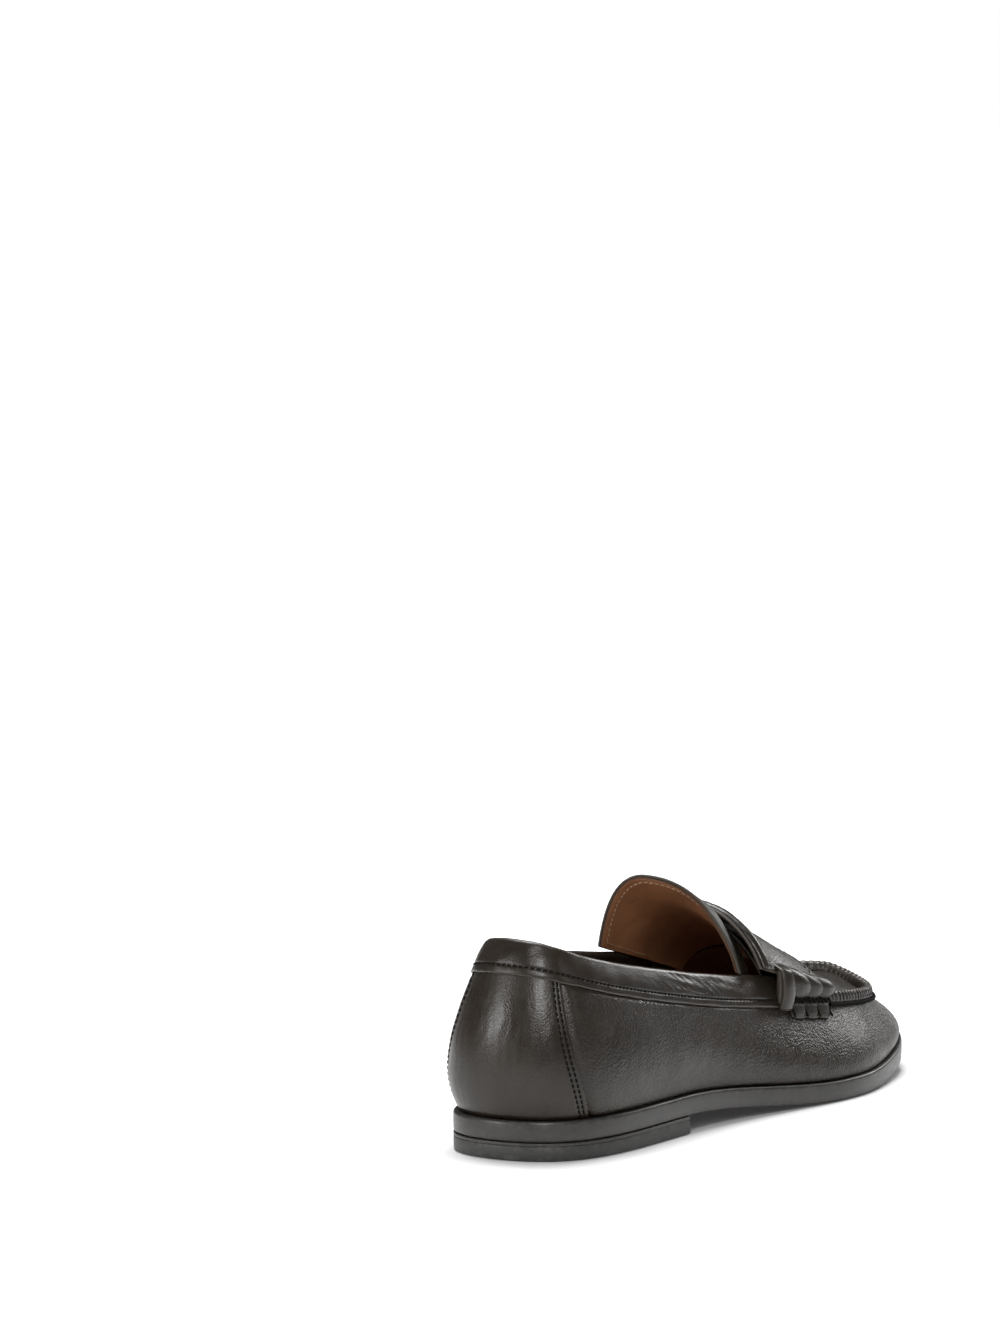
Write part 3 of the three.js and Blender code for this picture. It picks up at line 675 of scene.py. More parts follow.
def tube(path: Array, radius: Array | float, sides: int = 8, flat: float = 1.0) -> Skin:
    """A closed round cord along a path, with domed ends.

    Args:
        path: Points that it follows, in mm.
        radius: Radius along it, in mm.
        sides: Sides of its section.
        flat: Height of the section against its width.

    Returns:
        The closed mesh.
    """
    path = np.asarray(path, float)
    t = unit(np.gradient(path, axis=0))
    side = unit(np.cross(t, UP + 1e-6))
    up = np.cross(side, t)
    angles = np.linspace(0, 2 * math.pi, sides, endpoint=False)
    radius = np.broadcast_to(np.asarray(radius, float), (len(path),))[:, None, None]
    level, height = np.cos(angles)[None, :, None], flat * np.sin(angles)[None, :, None]
    body = path[:, None] + radius * (level * side[:, None] + height * up[:, None])
    tips = path[:1] - t[:1] * radius[0] * 0.5, path[-1:] + t[-1:] * radius[-1] * 0.5
    points = np.concatenate([body.reshape(-1, 3), *tips])
    faces = ring_faces(len(path), sides)
    last = (len(path) - 1) * sides
    for s in range(sides):
        n = (s + 1) % sides
        faces.append((len(points) - 2, n, s))
        faces.append((len(points) - 1, last + s, last + n))
    return Skin(points, faces).outwards()


@dataclass
class Bench:
    """Turns meshes on the form into pieces in the frame."""

    shift: Array
    finishes: dict[str, bpy.types.Material] = field(default_factory=dict)
    samples: int = 1900

    @classmethod
    def beside_frame(cls) -> "Bench":
        """Finds where the frame holds the form, from the outsole's box."""
        low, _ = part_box("outsole")
        line = FORM.outline(np.linspace(0, STATIONS, cls.samples))
        corner = line.min(0) * MILLIMETRE
        return cls(np.array([low.x - corner[0], low.y - corner[1], 0.0]))

    def place(self, points: Array) -> Array:
        """Points of the form, in mm, as points of the frame, in metres."""
        return np.asarray(points) * MILLIMETRE + self.shift

    def dressed(self, finish: object) -> bpy.types.Material:
        """The finish's material, made once."""
        if finish.name not in self.finishes:
            self.finishes[finish.name] = finish.material()
        return self.finishes[finish.name]

    def piece(
        self, name: str, skin: Skin, finish: object, stands_for: Sequence[str] = (),
        body: str = "shoe", bends: Optional[tuple[str, str, Array, Array]] = None,
    ) -> bpy.types.Object:
        """Makes one shown piece.

        Args:
            name: The piece's name.
            skin: Its closed mesh, in mm on the form.
            finish: What it is made of.
            stands_for: CAD nodes that it takes the place of.
            body: CAD body that it moves with, unless bends is given.
            bends: Two bodies and two points of a bend; when given, the piece is left unattached to
                either body and only the two bodies are logged.

        Returns:
            The Blender object.
        """
        mesh = bpy.data.meshes.new(name)
        mesh.from_pydata(self.place(skin.points).tolist(), [], skin.faces)
        for key, values in skin.values.items():
            layer = mesh.attributes.new(key, "FLOAT", "POINT")
            layer.data.foreach_set("value", values.astype(np.float32))
        mesh.polygons.foreach_set("use_smooth", [True] * len(mesh.polygons))
        mesh.materials.append(self.dressed(finish))
        mesh.update()
        made = bpy.data.objects.new(name, mesh)
        bpy.context.scene.collection.objects.link(made)
        weld(made)
        if bends:
            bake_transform(made)
        else:
            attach(made, body)
        if stands_for:
            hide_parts(*stands_for)
        LOG.info("%s: %d faces on %s", name, len(mesh.polygons), bends[:2] if bends else body)
        return made


def weld(made: bpy.types.Object, distance: float = 2e-6) -> None:
    """Merges points that fall together, as at a plate's two tips."""
    work = bmesh.new()
    work.from_mesh(made.data)
    bmesh.ops.remove_doubles(work, verts=work.verts, dist=distance)
    bmesh.ops.dissolve_degenerate(work, edges=work.edges, dist=distance)
    work.to_mesh(made.data)
    work.free()


# ---- Stitching ----


@dataclass(frozen=True)
class Stitching:
    """A row of separate stitches that lie along a line on the leather."""

    pitch: float = 2.4
    length: float = 1.75
    radius: float = 0.36
    samples: int = 1600
    sides: int = 6

    def row(self, line: Callable[[Array], Array], start: float, end: float) -> Skin:
        """Lays the stitches.

        Args:
            line: Gives points on the face, in mm, for places between start and end.
            start: Where the row begins.
            end: Where it ends.

        Returns:
            All the stitches as closed capsules in one mesh.
        """
        points = line(np.linspace(start, end, self.samples))
        run = run_length(points)
        count = max(2, int(run[-1] / self.pitch))
        centres = (np.arange(count) + 0.5) * run[-1] / count

        def on_line(length: Array) -> Array:
            """Points of the line at lengths along it."""
            return np.stack([np.interp(length, run, points[:, k]) for k in range(3)], -1)

        across = np.linspace(-1, 1, 5)
        skins = []
        for centre in centres:
            path = on_line(centre + across * self.length / 2)
            radius = self.radius * np.sqrt(np.clip(1.06 - across**2 * 0.75, 0, None))
            skins.append(tube(path, radius, self.sides))
        return gathered(skins)


def gathered(skins: Sequence[Skin]) -> Skin:
    """Many closed meshes as one piece."""
    points, faces, start = [], [], 0
    names = {name for skin in skins for name in skin.values}
    values = {name: [] for name in names}
    for skin in skins:
        points.append(skin.points)
        faces += [tuple(i + start for i in face) for face in skin.faces]
        for name in names:
            values[name].append(skin.values.get(name, np.zeros(len(skin.points))))
        start += len(skin.points)
    return Skin(np.concatenate(points), faces, {k: np.concatenate(v) for k, v in values.items()})


# ---- Bottom ----


def flat_at(height: float) -> Callable[[Array], Array]:
    """A flat face at a height, for a plate."""
    return lambda x: np.full_like(x, height)


# Edges from top to bottom, as inset in mm and share of the way down.
SOLE_EDGE = (
    (1.4, 0), (0.55, 0), (0.12, 0.05), (-0.05, 0.16), (-0.08, 0.5), (0, 0.86), (0.25, 0.96),
    (0.9, 1), (1.6, 1),
)
LIFT_EDGE = ((0.6, 0), (0.1, 0), (-0.02, 0.2), (-0.02, 0.8), (0.1, 1), (0.6, 1))
RUBBER_EDGE = ((0.8, 0), (0.15, 0), (0, 0.07), (-0.02, 0.5), (0.1, 0.9), (0.45, 0.985), (1.3, 1))
SOCK_EDGE = ((0.9, 0), (0.2, 0.05), (0, 0.5), (0.2, 0.95), (0.9, 1))


@dataclass
class Bottom:
    """Outsole, heel and sock: flat plates of the outline's shape."""

    bench: Bench
    lift_thickness: float = 1.2
    sock_thickness: float = 1.0
    sock_under: float = 7.1  # sock's under face above the outsole
    sock_inset: float = 7.6
    sock_toe_inset: float = 4.6  # more inset round the toe
    rows: int = 220
    across: int = 9
    samples: int = 7600

    def edge_stations(self, xs: Array) -> tuple[Array, Array]:
        """Stations on the outer and on the inner side whose outline stands at xs."""
        u = np.linspace(-1, STATIONS - 1, self.samples)
        x = self.outline_x(u)
        back, front = int(np.argmin(x)), int(np.argmax(x))
        outer = np.interp(xs, x[back : front + 1], u[back : front + 1])
        inner_u = np.concatenate([u[front:], u[1 : back + 1] + STATIONS])
        inner_x = np.concatenate([x[front:], x[1 : back + 1]])
        inner = np.interp(xs, inner_x[::-1], inner_u[::-1])
        return outer, inner

    @staticmethod
    def outline_x(u: Array) -> Array:
        """The outline's x at stations u."""
        return FORM.outline(u)[..., 0]

    def plate(
        self, profile: Sequence[tuple[float, float]], under: Callable[[Array], Array],
        over: Callable[[Array], Array], breast: Optional[float] = None,
        inset: Optional[Callable[[Array], Array]] = None,
    ) -> Skin:
        """A plate between two heights.

        Args:
            profile: Edge from top to bottom, as inset in mm and share of the way down.
            under: Height of the under face at x.
            over: Height of the upper face at x.
            breast: Where it is cut off square, for the heel's plates.
            inset: More inset at a station, where the plate is smaller than the outline.

        Returns:
            The closed mesh.
        """
        x = self.outline_x(np.linspace(0, STATIONS, self.samples))
        angle = np.linspace(0, math.pi, self.rows)
        xs = x.min() + (x.max() - x.min()) * (1 - np.cos(angle)) / 2
        if breast is not None:
            xs = np.concatenate([xs[xs < breast - 0.6], [breast - 0.25, breast]])
        outer, inner = self.edge_stations(xs)

        def side(u: Array, depth: float, share: float) -> Array:
            """One line of points along an edge."""
            extra = inset(u) if inset is not None else 0.0
            p = FORM.outline(u) - FORM.outward(u) * np.reshape(depth + extra, (-1, 1))
            if breast is not None:
                p[:, 0] = np.minimum(p[:, 0], breast)
            top, low = over(p[:, 0]), under(p[:, 0])
            p[:, 2] = top + (low - top) * share
            return p

        loops = []
        first, last = profile[0], profile[-1]
        for t in np.linspace(0, 1, self.across):
            loops.append(side(outer, *first) * (1 - t) + side(inner, *first) * t)
        loops += [side(inner, *p) for p in profile[1:-1]]
        for t in np.linspace(1, 0, self.across):
            loops.append(side(outer, *last) * (1 - t) + side(inner, *last) * t)
        loops += [side(outer, *p) for p in profile[-2:0:-1]]
        points = np.stack(loops, 1)
        sections, size = points.shape[:2]
        faces = ring_faces(sections, size)
        if breast is not None:
            faces.append(tuple(range((sections - 1) * size, sections * size))[::-1])
        worn = np.zeros((sections, size))
        between = len(profile) - 2
        second = 2 * self.across + between
        sides = np.r_[self.across : self.across + between, second:size]
        worn[:, sides] = np.tile([abs(share - 0.5) * 2 for _, share in profile[1:-1]], 2)
        return Skin(points.reshape(-1, 3), faces, {"worn": worn.ravel()}).outwards()

    def build(self) -> None:
        """Makes the outsole, the heel's two plates and the sock."""
        outsole = Moulded(
            "sole_rubber", (0.021, 0.0195, 0.0175), (0.036, 0.034, 0.031), (0.30, 0.46), Slot.SOLE
        )
        stack = Moulded(
            "heel_stack", (0.022, 0.0205, 0.0185), (0.037, 0.035, 0.032), (0.34, 0.5), Slot.STACK
        )
        top_piece = Moulded(
            "heel_rubber", (0.025, 0.0245, 0.023), (0.043, 0.042, 0.039), (0.42, 0.6),
            Slot.TOP_PIECE, scuffed=0.8,
        )
        sole = self.plate(SOLE_EDGE, FORM.sole_under, FORM.sole_top)
        self.bench.piece("sole_unit", sole, outsole, ["outsole"])
        breast = FORM.heel_breast
        lift_over = FORM.heel_height - GAP
        lift_under = lift_over - self.lift_thickness
        lift = self.plate(LIFT_EDGE, flat_at(lift_under), flat_at(lift_over), breast)
        self.bench.piece("heel_seat_lift", lift, stack, ["heel_lift"])
        rubber = self.plate(RUBBER_EDGE, flat_at(0.0), flat_at(lift_under - 0.03), breast)
        self.bench.piece("heel_rubber_piece", rubber, top_piece, ["heel_top_piece"])

        def sock_face(x: Array) -> Array:
            """The sock's under face."""
            return FORM.sole_top(x) + self.sock_under

        def inset(u: Array) -> Array:
            """How much smaller the sock is than the outline."""
            toe = smooth(u, 6.5, 8.5) * (1 - smooth(u, 11, 13))
            return self.sock_inset + self.sock_toe_inset * toe

        sock = self.plate(
            SOCK_EDGE, sock_face, lambda x: sock_face(x) + self.sock_thickness, inset=inset
        )
        self.bench.piece("sock_pad", sock, LINING, ["sock_liner"])


# ---- Upper ----


@dataclass
class Upper:
    """Heel cover, vamp with quarters, and the linings behind them."""

    bench: Bench
    leather: float = 1.2
    lining: float = 1.0
    margin: float = 12.0
    margin_rows: tuple[float, ...] = (1.0, 0.6, 0.25)
    seam_top: float = 1.09
    seam_flare: float = 0.42
    lap: float = 0.2
    collar_end: float = 5.1
    tuck_depth: float = 1.3
    tuck_share: float = 1.48
    seam_rows: tuple[float, float] = (0.062, 0.135)
    wall_shares: int = 44
    turn: float = 0.93  # share of the wall's height where the vamp's close rows begin
    lining_depth: float = 3.2
    lining_top: float = 0.95
    lining_foot: float = 6.6  # linings' lower edges above the sole
    grip_end: float = 1.9
    join: float = 0.02  # between two linings that meet, in stations

    @property
    def medial_end(self) -> float:
        """Station where the collar meets the strap on the inner side."""
        return TOE + MEDIAL_STEP * (TOE - self.collar_end)

    def seam(self, h: Array) -> Array:
        """Station of the heel seam at a share of the wall's height."""
        return self.seam_top + self.seam_flare * (1 - np.clip(h, 0, 1)) ** 2.2

    def under_collar(self, u: Array) -> Array:
        """1 where the collar stands over the wall, 0 in front of it."""
        inner = u > STATIONS / 2
        v = np.where(inner, STATIONS - u, u)
        end = np.where(inner, STATIONS - self.medial_end, self.collar_end)
        return 1 - np.clip((v - end - 0.04) / 0.2, 0, 1)

    def folds(self, u: Array, h: Array) -> Array:
        """Soft unevenness of the lasted leather, in mm outwards."""
        body = np.sin(np.clip(h, 0, 1) * math.pi) ** 0.8
        heel = np.cos(u * 3.6) * (1 - smooth(np.minimum(np.abs(u), STATIONS - np.abs(u)), 1.2, 2.4))
        waves = 0.26 * ripple(u * 1.6, h * 1.5, 3) + 0.1 * ripple(u * 4.2, h * 4, 5)
        fine = 0.045 * ripple(u * 16, h * 9, 8)
        dip = 0.55 * np.exp(-((u - 3.55) ** 2) / 0.12 - (h - 0.72) ** 2 / 0.03)
        front = np.clip(np.minimum(u, STATIONS - u) - 5.8, 0, 1)
        pull = 0.07 * front * smooth(h, 0.7, 0.98) * np.cos(self.girth(u) * 2 * math.pi / 3.1)
        return body * (waves + fine - dip + 0.18 * heel) + pull

    @staticmethod
    def girth(u: Array) -> Array:
        """Length along the rim to station u, in mm."""
        dense = np.linspace(-2, STATIONS + 2, 4000)
        return np.interp(u, dense, run_length(FORM.rim(dense)))

    def lasted(
        self, u: Array, heights: Array, station: Callable[[Array, Array], Array],
        depth: Callable[[Array, Array], Array], extra: float,
    ) -> Array:
        """A face of the lasted leather, from its turned-in margin to its top.

        Args:
            u: Stations of the columns at the rim.
            heights: Shares of the wall's height, one a row.
            station: Gives the station of a column at a height.
            depth: Gives the depth under the form's face at a station and height.
            extra: More depth, for the inner face.

        Returns:
            Rows by columns of points.
        """
        foot = station(u, np.zeros_like(u))
        base_depth = depth(foot, np.zeros_like(u)) + extra
        rows = []
        for share in self.margin_rows:
            p = FORM.feather(foot, self.margin * share)
            p[:, 2] += base_depth
            rows.append(p)
        corner = FORM.feather(foot) - FORM.outward(foot) * base_depth[:, None]
        corner[:, 2] = FORM.feather(foot)[:, 2] + base_depth
        rows.append(corner)
        for h in heights:
            level = np.full_like(u, h)
            place = station(u, level)
            deep = depth(place, level) + extra - self.folds(place, level)
            rows.append(FORM.wall_at(place, level, deep))
        return np.stack(rows)

    def heel_cover(self) -> None:
        """The piece that wraps the heel from seam to seam."""
        even = np.linspace(-1, 1, 171)
        share = np.sign(even) * (1 - (1 - np.abs(even)) ** 1.5)
        tuck = [0.96, 0.985, 1.02, 1.06, 1.2, 1.35, self.tuck_share]
        heights = np.concatenate([np.linspace(0.03, 0.93, self.wall_shares), tuck])

        def station(a: Array, h: Array) -> Array:
            """Station of a share of the way to the seam."""
            return a * (self.seam(h) - 0.01)

        def depth(u: Array, h: Array) -> Array:
            """Leather tucked under the collar and pulled down along the stitches, in mm."""
            away = np.abs(u) - self.seam(h)
            groove = sum(0.28 * np.exp(-((away + back) ** 2) / 0.00035) for back in self.seam_rows)
            return self.tuck_depth * smooth(h, 1.0, 1.03) + groove

        outer = self.lasted(share, heights, station, depth, 0.0)
        inner = self.lasted(share, heights, station, depth, self.leather)
        self.bench.piece("heel_cover_leather", shell(outer, inner), UPPER_SMOOTH, ["heel_cover"])
        stitches = Stitching(pitch=2.3, length=1.6, radius=0.38)
        rows = []
        for side in (-1, 1):
            for back in self.seam_rows:

                def line(h: Array, side: int = side, back: float = back) -> Array:
                    """A stitch row's line, up one seam."""
                    u = side * (self.seam(h) - back)
                    return FORM.wall_at(u, h, 0.16 - self.folds(u, h))

                rows.append(stitches.row(line, 0.03, 0.975))
        self.bench.piece("heel_seam_stitches", gathered(rows), THREAD)

    def vamp(self) -> None:
        """The vamp and both quarters, in one piece round the toe."""
        start = self.seam_top - self.lap
        lap = np.linspace(0, self.lap + 0.12, 7)
        ends = [self.collar_end + d for d in (0.04, 0.14, 0.24)]
        ends += [self.medial_end - d for d in (0.24, 0.14, 0.04)]
        middle = np.arange(start + 0.4, STATIONS - start - 0.38, 0.035)
        clear = middle[np.min(np.abs(middle[:, None] - np.array(ends)[None]), 1) > 0.02]
        u = np.sort(np.concatenate([start + lap, clear, ends, STATIONS - start - lap]))
        u = u[np.concatenate([[True], np.diff(u) > 1e-4])]
        from_end = np.minimum(u, STATIONS - u) - start
        slant = (1 - smooth(from_end, 0.2, 2.2)) * np.sign(STATIONS / 2 - u)
        under_heel = 1 - smooth(from_end, self.lap, self.lap + 0.12)
        tuck = np.where(from_end < self.lap + 0.01, 0, self.under_collar(u))
        top = np.where(from_end < self.lap + 0.01, 0.92, 0.985 + (self.tuck_share - 0.985) * tuck)
        upper_rows = [0.945, 0.96, 0.97, 0.978, 0.99, 0.995, 1.0]
        shares = [*np.linspace(0.03, self.turn, self.wall_shares), *upper_rows]

        def height(share: float) -> Array:
            """Height of a row of points on the wall at each station."""
            if share <= self.turn:
                return np.where(top < self.turn, share * (top - 0.01) / self.turn, share)
            rising = self.turn + (top - self.turn) * (share - self.turn) / (1 - self.turn)
            return np.where(top < self.turn, top - 0.001 * (1 - share), rising)

        def face(extra: float) -> Array:
            """The outer face, or the inner one with the leather's thickness."""
            foot = u + slant * (self.seam(np.zeros_like(u)) - self.seam_top)
            lapped = (self.leather + GAP) * under_heel
            rows = []
            for share in (*self.margin_rows, 0.0):
                p = FORM.feather(foot, self.margin * share)
                z = p[:, 2] + lapped + extra
                if share == 0:
                    p = p - FORM.outward(foot) * (lapped + extra)[:, None]
                p[:, 2] = z
                rows.append(p)
            for share in shares:
                h = height(share)
                place = u + slant * (self.seam(h) - self.seam_top)
                depth = np.maximum(lapped, self.tuck_depth * smooth(h, 1.0, 1.03) * tuck)
                rows.append(FORM.wall_at(place, h, depth + extra - self.folds(place, h)))
            return np.stack(rows)

        coarse = 0.3 + 0.7 * smooth(np.minimum(u, STATIONS - u), 3.0, 7.0)
        skin = shell(face(0.0), face(self.leather), paint={"coarse": coarse})
        self.bench.piece("vamp_and_quarters", skin, UPPER_FINE, ["vamp"])

    def layer(self, name: str, node: str, start: float, end: float) -> None:
        """One visible lining inside the wall, between two stations."""
        u = np.linspace(start, end, max(8, int((end - start) * 18)))
        total = (FORM.rim(u) - FORM.feather(u))[:, 2]
        low = np.clip(self.lining_foot / total, 0.05, 0.5)
        h = low + (self.lining_top - low) * np.linspace(0, 1, 26)[:, None]

        def face(depth: float) -> Array:
            """One face of the lining."""
            return FORM.wall_at(u + 0 * h, h, depth - 0.12 * ripple(u * 3, h * 5, 12))

        outer, inner = face(self.lining_depth), face(self.lining_depth + self.lining)
        skin = shell(outer, inner, paint={"shade": np.clip(1 - 0.5 * h, 0, 1)})
        self.bench.piece(name, skin, LINING, [node])

    def linings(self) -> None:
        """All four linings."""
        grip, join, outer, inner = self.grip_end, self.join, self.collar_end, self.medial_end
        for name, node, start, end in (
            ("heel_grip_lining", "heel_grip", -grip, grip),
            ("quarter_lining_outer", "quarter_lining_lateral", grip + join, outer),
            ("vamp_lining_skin", "vamp_lining", outer + join, inner - join),
            ("quarter_lining_inner", "quarter_lining_medial", inner, STATIONS - grip - join),
        ):
            self.layer(name, node, start, end)

    def build(self) -> None:
        """Makes the whole upper below the collar."""
        self.heel_cover()
        self.vamp()
        self.linings()


@dataclass
class Collar:
    """The strip that is folded over the top edge, with its stitch row."""

    bench: Bench
    upper: Upper
    leather: float = 1.0
    depth: float = 3.8
    foot: float = 0.98
    rise_rows: int = 36
    turn_rows: int = 12
    crest: float = 1.93  # height share where the top edge is worn
    wander: float = 0.0035  # of the lower edge, as a share of the wall's height
    stitch_height: float = 2.0

    @property
    def stitch_row(self) -> float:
        """Height share of the stitch row."""
        return 1 + self.stitch_height / FORM.collar_height

    @staticmethod
    def proud(t: float | Array) -> float | Array:
        """How far the band stands out of the wall at a share of its height, in mm."""
        return 0.55 * (1 - t) ** 3 + 0.4 * np.sin(math.pi * t)

    def section(self, skin: float) -> Array:
        """Points of the folded strip's section as height share and depth."""
        height = FORM.collar_height
        radius = self.depth / 2 - skin
        shoulder = 1 - self.depth / 2 / height
        span = 1 + shoulder - self.foot
        rise = [
            (self.foot + t * span, skin - self.proud(t)) for t in np.linspace(0, 1, self.rise_rows)
        ]
        arc = [
            (1 + shoulder + radius / height * math.sin(a), self.depth / 2 - radius * math.cos(a))
            for a in np.linspace(0, math.pi, self.turn_rows)[1:-1]
        ]
        fall = [
            (1 + shoulder - t * (shoulder - 0.02), self.depth - skin) for t in np.linspace(0, 1, 9)
        ]
        return np.array([*rise, *arc, *fall])

    def creases(self, u: Array, h: Array) -> Array:
        """Fine cross wrinkles and the dip along the stitch row, in mm."""
        band = np.exp(-((u - 3.6) ** 2) / 0.5)
        wrinkle = 0.17 * band * ripple(u * 24 + h * 12, h * 5 - u * 6, 21) * smooth(h, 1.1, 1.3)
        press = 0.24 * np.exp(-((h - self.stitch_row) ** 2) / 0.0022)
        wander = 0.13 * ripple(u * 6, h * 3, 24)
        return wrinkle + wander - press

    def build(self) -> None:
        """Makes the collar and its stitches."""
        start = self.upper.medial_end - STATIONS + 0.02
        u = np.arange(start, self.upper.collar_end - 0.01, 0.03)
        outer_section, inner_section = self.section(0.0), self.section(self.leather)
        rank = np.arange(len(outer_section))[:, None]
        outside = rank < self.rise_rows + self.turn_rows // 2 - 1

        def face(section: Array) -> Array:
            """One face of the folded strip."""
            place = np.broadcast_to(u, (len(section), len(u)))
            h = np.broadcast_to(section[:, :1], place.shape)
            depth = section[:, 1:] - np.where(outside, self.creases(place, h), 0)
            h = h + np.where(rank < 2, self.wander * ripple(u * 7, u * 0, 31), 0)
            return FORM.wall_at(place, h, depth)

        worn = np.exp(-((outer_section[:, :1] - self.crest) ** 2) / 0.006) * 0.55
        skin = shell(face(outer_section), face(inner_section), paint={"worn": worn})
        self.bench.piece("collar_band", skin, UPPER_SMOOTH, ["collar"])

        def line(place: Array) -> Array:
            """The stitch row's line on the band."""
            h = np.full_like(place, self.stitch_row)
            span = 2 - self.depth / 2 / FORM.collar_height - self.foot
            proud = self.proud((self.stitch_row - self.foot) / span)
            return FORM.wall_at(place, h, -proud - self.creases(place, h) - 0.1)

        stitches = Stitching(pitch=2.4, length=1.6, radius=0.42)
        row = stitches.row(line, start + 0.05, self.upper.collar_end - 0.04)
        self.bench.piece("collar_stitches", row, THREAD)


# ---- Apron, strap and tongue ----


@dataclass
class Apron:
    """The raised plate over the forefoot with its gathered ridge and heavy seam."""

    bench: Bench
    strap_front: float = 3.68
    leather: float = 1.2
    ridge_width: float = 4.6
    ridge_height: float = 5.0
    pucker: float = 3.1
    thread_radius: float = 0.62
    rear: float = 4.66
    reach_across: float = 0.97
    crease_arch: float = 2.55
    lining_reach: float = 3.9
    lining_depth: float = 2.3
    lining_thickness: float = 0.8
    lining_inset: float = 5.2

    @property
    def ends(self) -> tuple[float, float]:
        """Stations where the ridge runs under the strap."""
        reach = self.strap_front - 0.06
        return TOE - reach, TOE + MEDIAL_STEP * reach

    def gathers(self, u: Array) -> Array:
        """Height of the puckers, 0 in a valley and 1 on a crown."""
        phase = Upper.girth(u) * math.pi / self.pucker
        return np.abs(np.sin(phase + 0.35 * np.sin(phase * 0.37))) ** 0.55

    def plate(self) -> None:
        """The apron's own leather."""
        arches = np.concatenate([np.linspace(0.22, 1.4, 40), np.linspace(1.43, self.rear, 110)])
        arch, share = np.meshgrid(arches, crowded(101), indexing="ij")
        inset = 1.5 + 5 * smooth(arch, 3.9, 4.3)
        scooped = arch - 0.16 * share**2 * smooth(arch, 4, self.rear)
        edge = smooth(np.abs(share), 0.86, 0.985) * smooth(arch, 0.2, 0.5)
        relief = 0.22 * ripple(arch * 1.6, share * 1.7, 41) + 0.06 * ripple(arch * 7, share * 5, 43)
        station = np.where(share < 0, TOE - arch, TOE + MEDIAL_STEP * arch)
        relief = relief * (1 - edge) + 0.35 * edge * (self.gathers(station) - 0.5)
        away = arch - self.crease_arch - 0.12 * np.cos(share * 3)
        relief = relief - 0.2 * np.exp(-(away**2) / 0.004) * (1 - share**2)
        across = self.reach_across * share
        outer, inner = (
            FORM.instep(scooped, across, relief - depth, inset) for depth in (0.0, self.leather)
        )
        self.bench.piece("apron_plate", shell(outer, inner), UPPER_FINE, ["apron"])

    def ridge(self) -> None:
        """The gathered ridge round the apron."""
        start, end = self.ends
        u = np.arange(start, end, 0.0115)
        angle = np.linspace(0, math.pi, 18)
        out = FORM.outward(u)
        lobes = self.gathers(u)
        centre = FORM.rim(u) - out * self.ridge_width / 2
        near = 1 - 0.65 * smooth(u, 8.6, 9.6)

        def face(base: bool) -> Array:
            """The ridge's skin, or its foot."""
            rows = []
            full = 0 if base else 1
            for a in angle:
                side = self.ridge_width / 2 * math.cos(a) * (0.9 if base else 1)
                swell = 1 + 0.2 * (lobes - 0.6) * near * full
                height = GAP + full * self.ridge_height * math.sin(a) ** 0.62
                lean = 0.45 * math.sin(a) * full
                top = height * (1 - 0.24 * near * (1 - lobes) * full)
                rows.append(centre + out * (side * swell + lean)[:, None] + top[:, None] * UP)
            return np.stack(rows)

        # Lighter along the ridge's top and on the puckers' crowns: painted highlight where the top
        # light falls, with rub wear on the crowns.
        worn = np.sin(angle)[:, None] ** 2 * (0.3 + 0.7 * lobes**2)[None]
        skin = shell(face(False), face(True), paint={"worn": worn})
        self.bench.piece("apron_ridge", skin, UPPER_FINE)

    def seam(self) -> None:
        """Heavy two-strand thread along the outer foot of the ridge."""
        start, end = self.ends
        u = np.linspace(start + 0.05, end - 0.05, 900)
        turn = Upper.girth(u) * 2 * math.pi / self.pucker
        out, along = FORM.outward(u), unit(np.gradient(FORM.rim(u), axis=0))
        up = np.cross(out, along)
        up = np.where(up[:, 2:] < 0, -up, up)
        middle = FORM.wall_at(u, np.full_like(u, 0.985), -self.thread_radius - 0.05)
        strands = []
        for phase in (0, math.pi):
            offset = out * np.cos(turn + phase)[:, None] + up * np.sin(turn + phase)[:, None]
            path = middle + offset * self.thread_radius * 0.62
            strands.append(tube(path, self.thread_radius * 0.72, 7))
        loops = []
        phase = Upper.girth(np.array([start + 0.06, end - 0.06]))
        stops = np.arange(phase[0], phase[1], self.pucker)
        dense = np.linspace(start, end, 3000)
        places = np.interp(stops, Upper.girth(dense), dense)
        for place in places:
            centre, side = FORM.rim(place), FORM.outward(place)
            half = self.ridge_width / 2
            path = [
                centre - side * half + side * (half + 0.15) * math.cos(a)
                + UP * (GAP + self.ridge_height * 0.86 * math.sin(a) ** 0.62)
                for a in np.linspace(0.05, 0.55, 7) * math.pi
            ]
            loops.append(tube(np.array(path), 0.3, 6))
        thread = gathered([*strands, *loops])
        self.bench.piece("apron_seam_thread", thread, THREAD, ["seam_thread"])

    def lining(self) -> None:
        """Lining under the apron and the strap, seen at the back of the mouth."""
        arch = np.linspace(0.6, self.lining_reach, 90)[:, None]
        share = crowded(81)[None] * 0.985
        under = self.lining_depth + self.lining_thickness
        outer, inner = (
            FORM.instep(arch, share, -depth, self.lining_inset)
            for depth in (self.lining_depth, under)
        )
        skin = shell(outer, inner, paint={"shade": np.array([[0.75]])})
        self.bench.piece("apron_lining", skin, LINING)

    def build(self) -> None:
        """Makes the apron, its ridge and its seam."""
        self.plate()
        self.lining()
        self.ridge()
        self.seam()


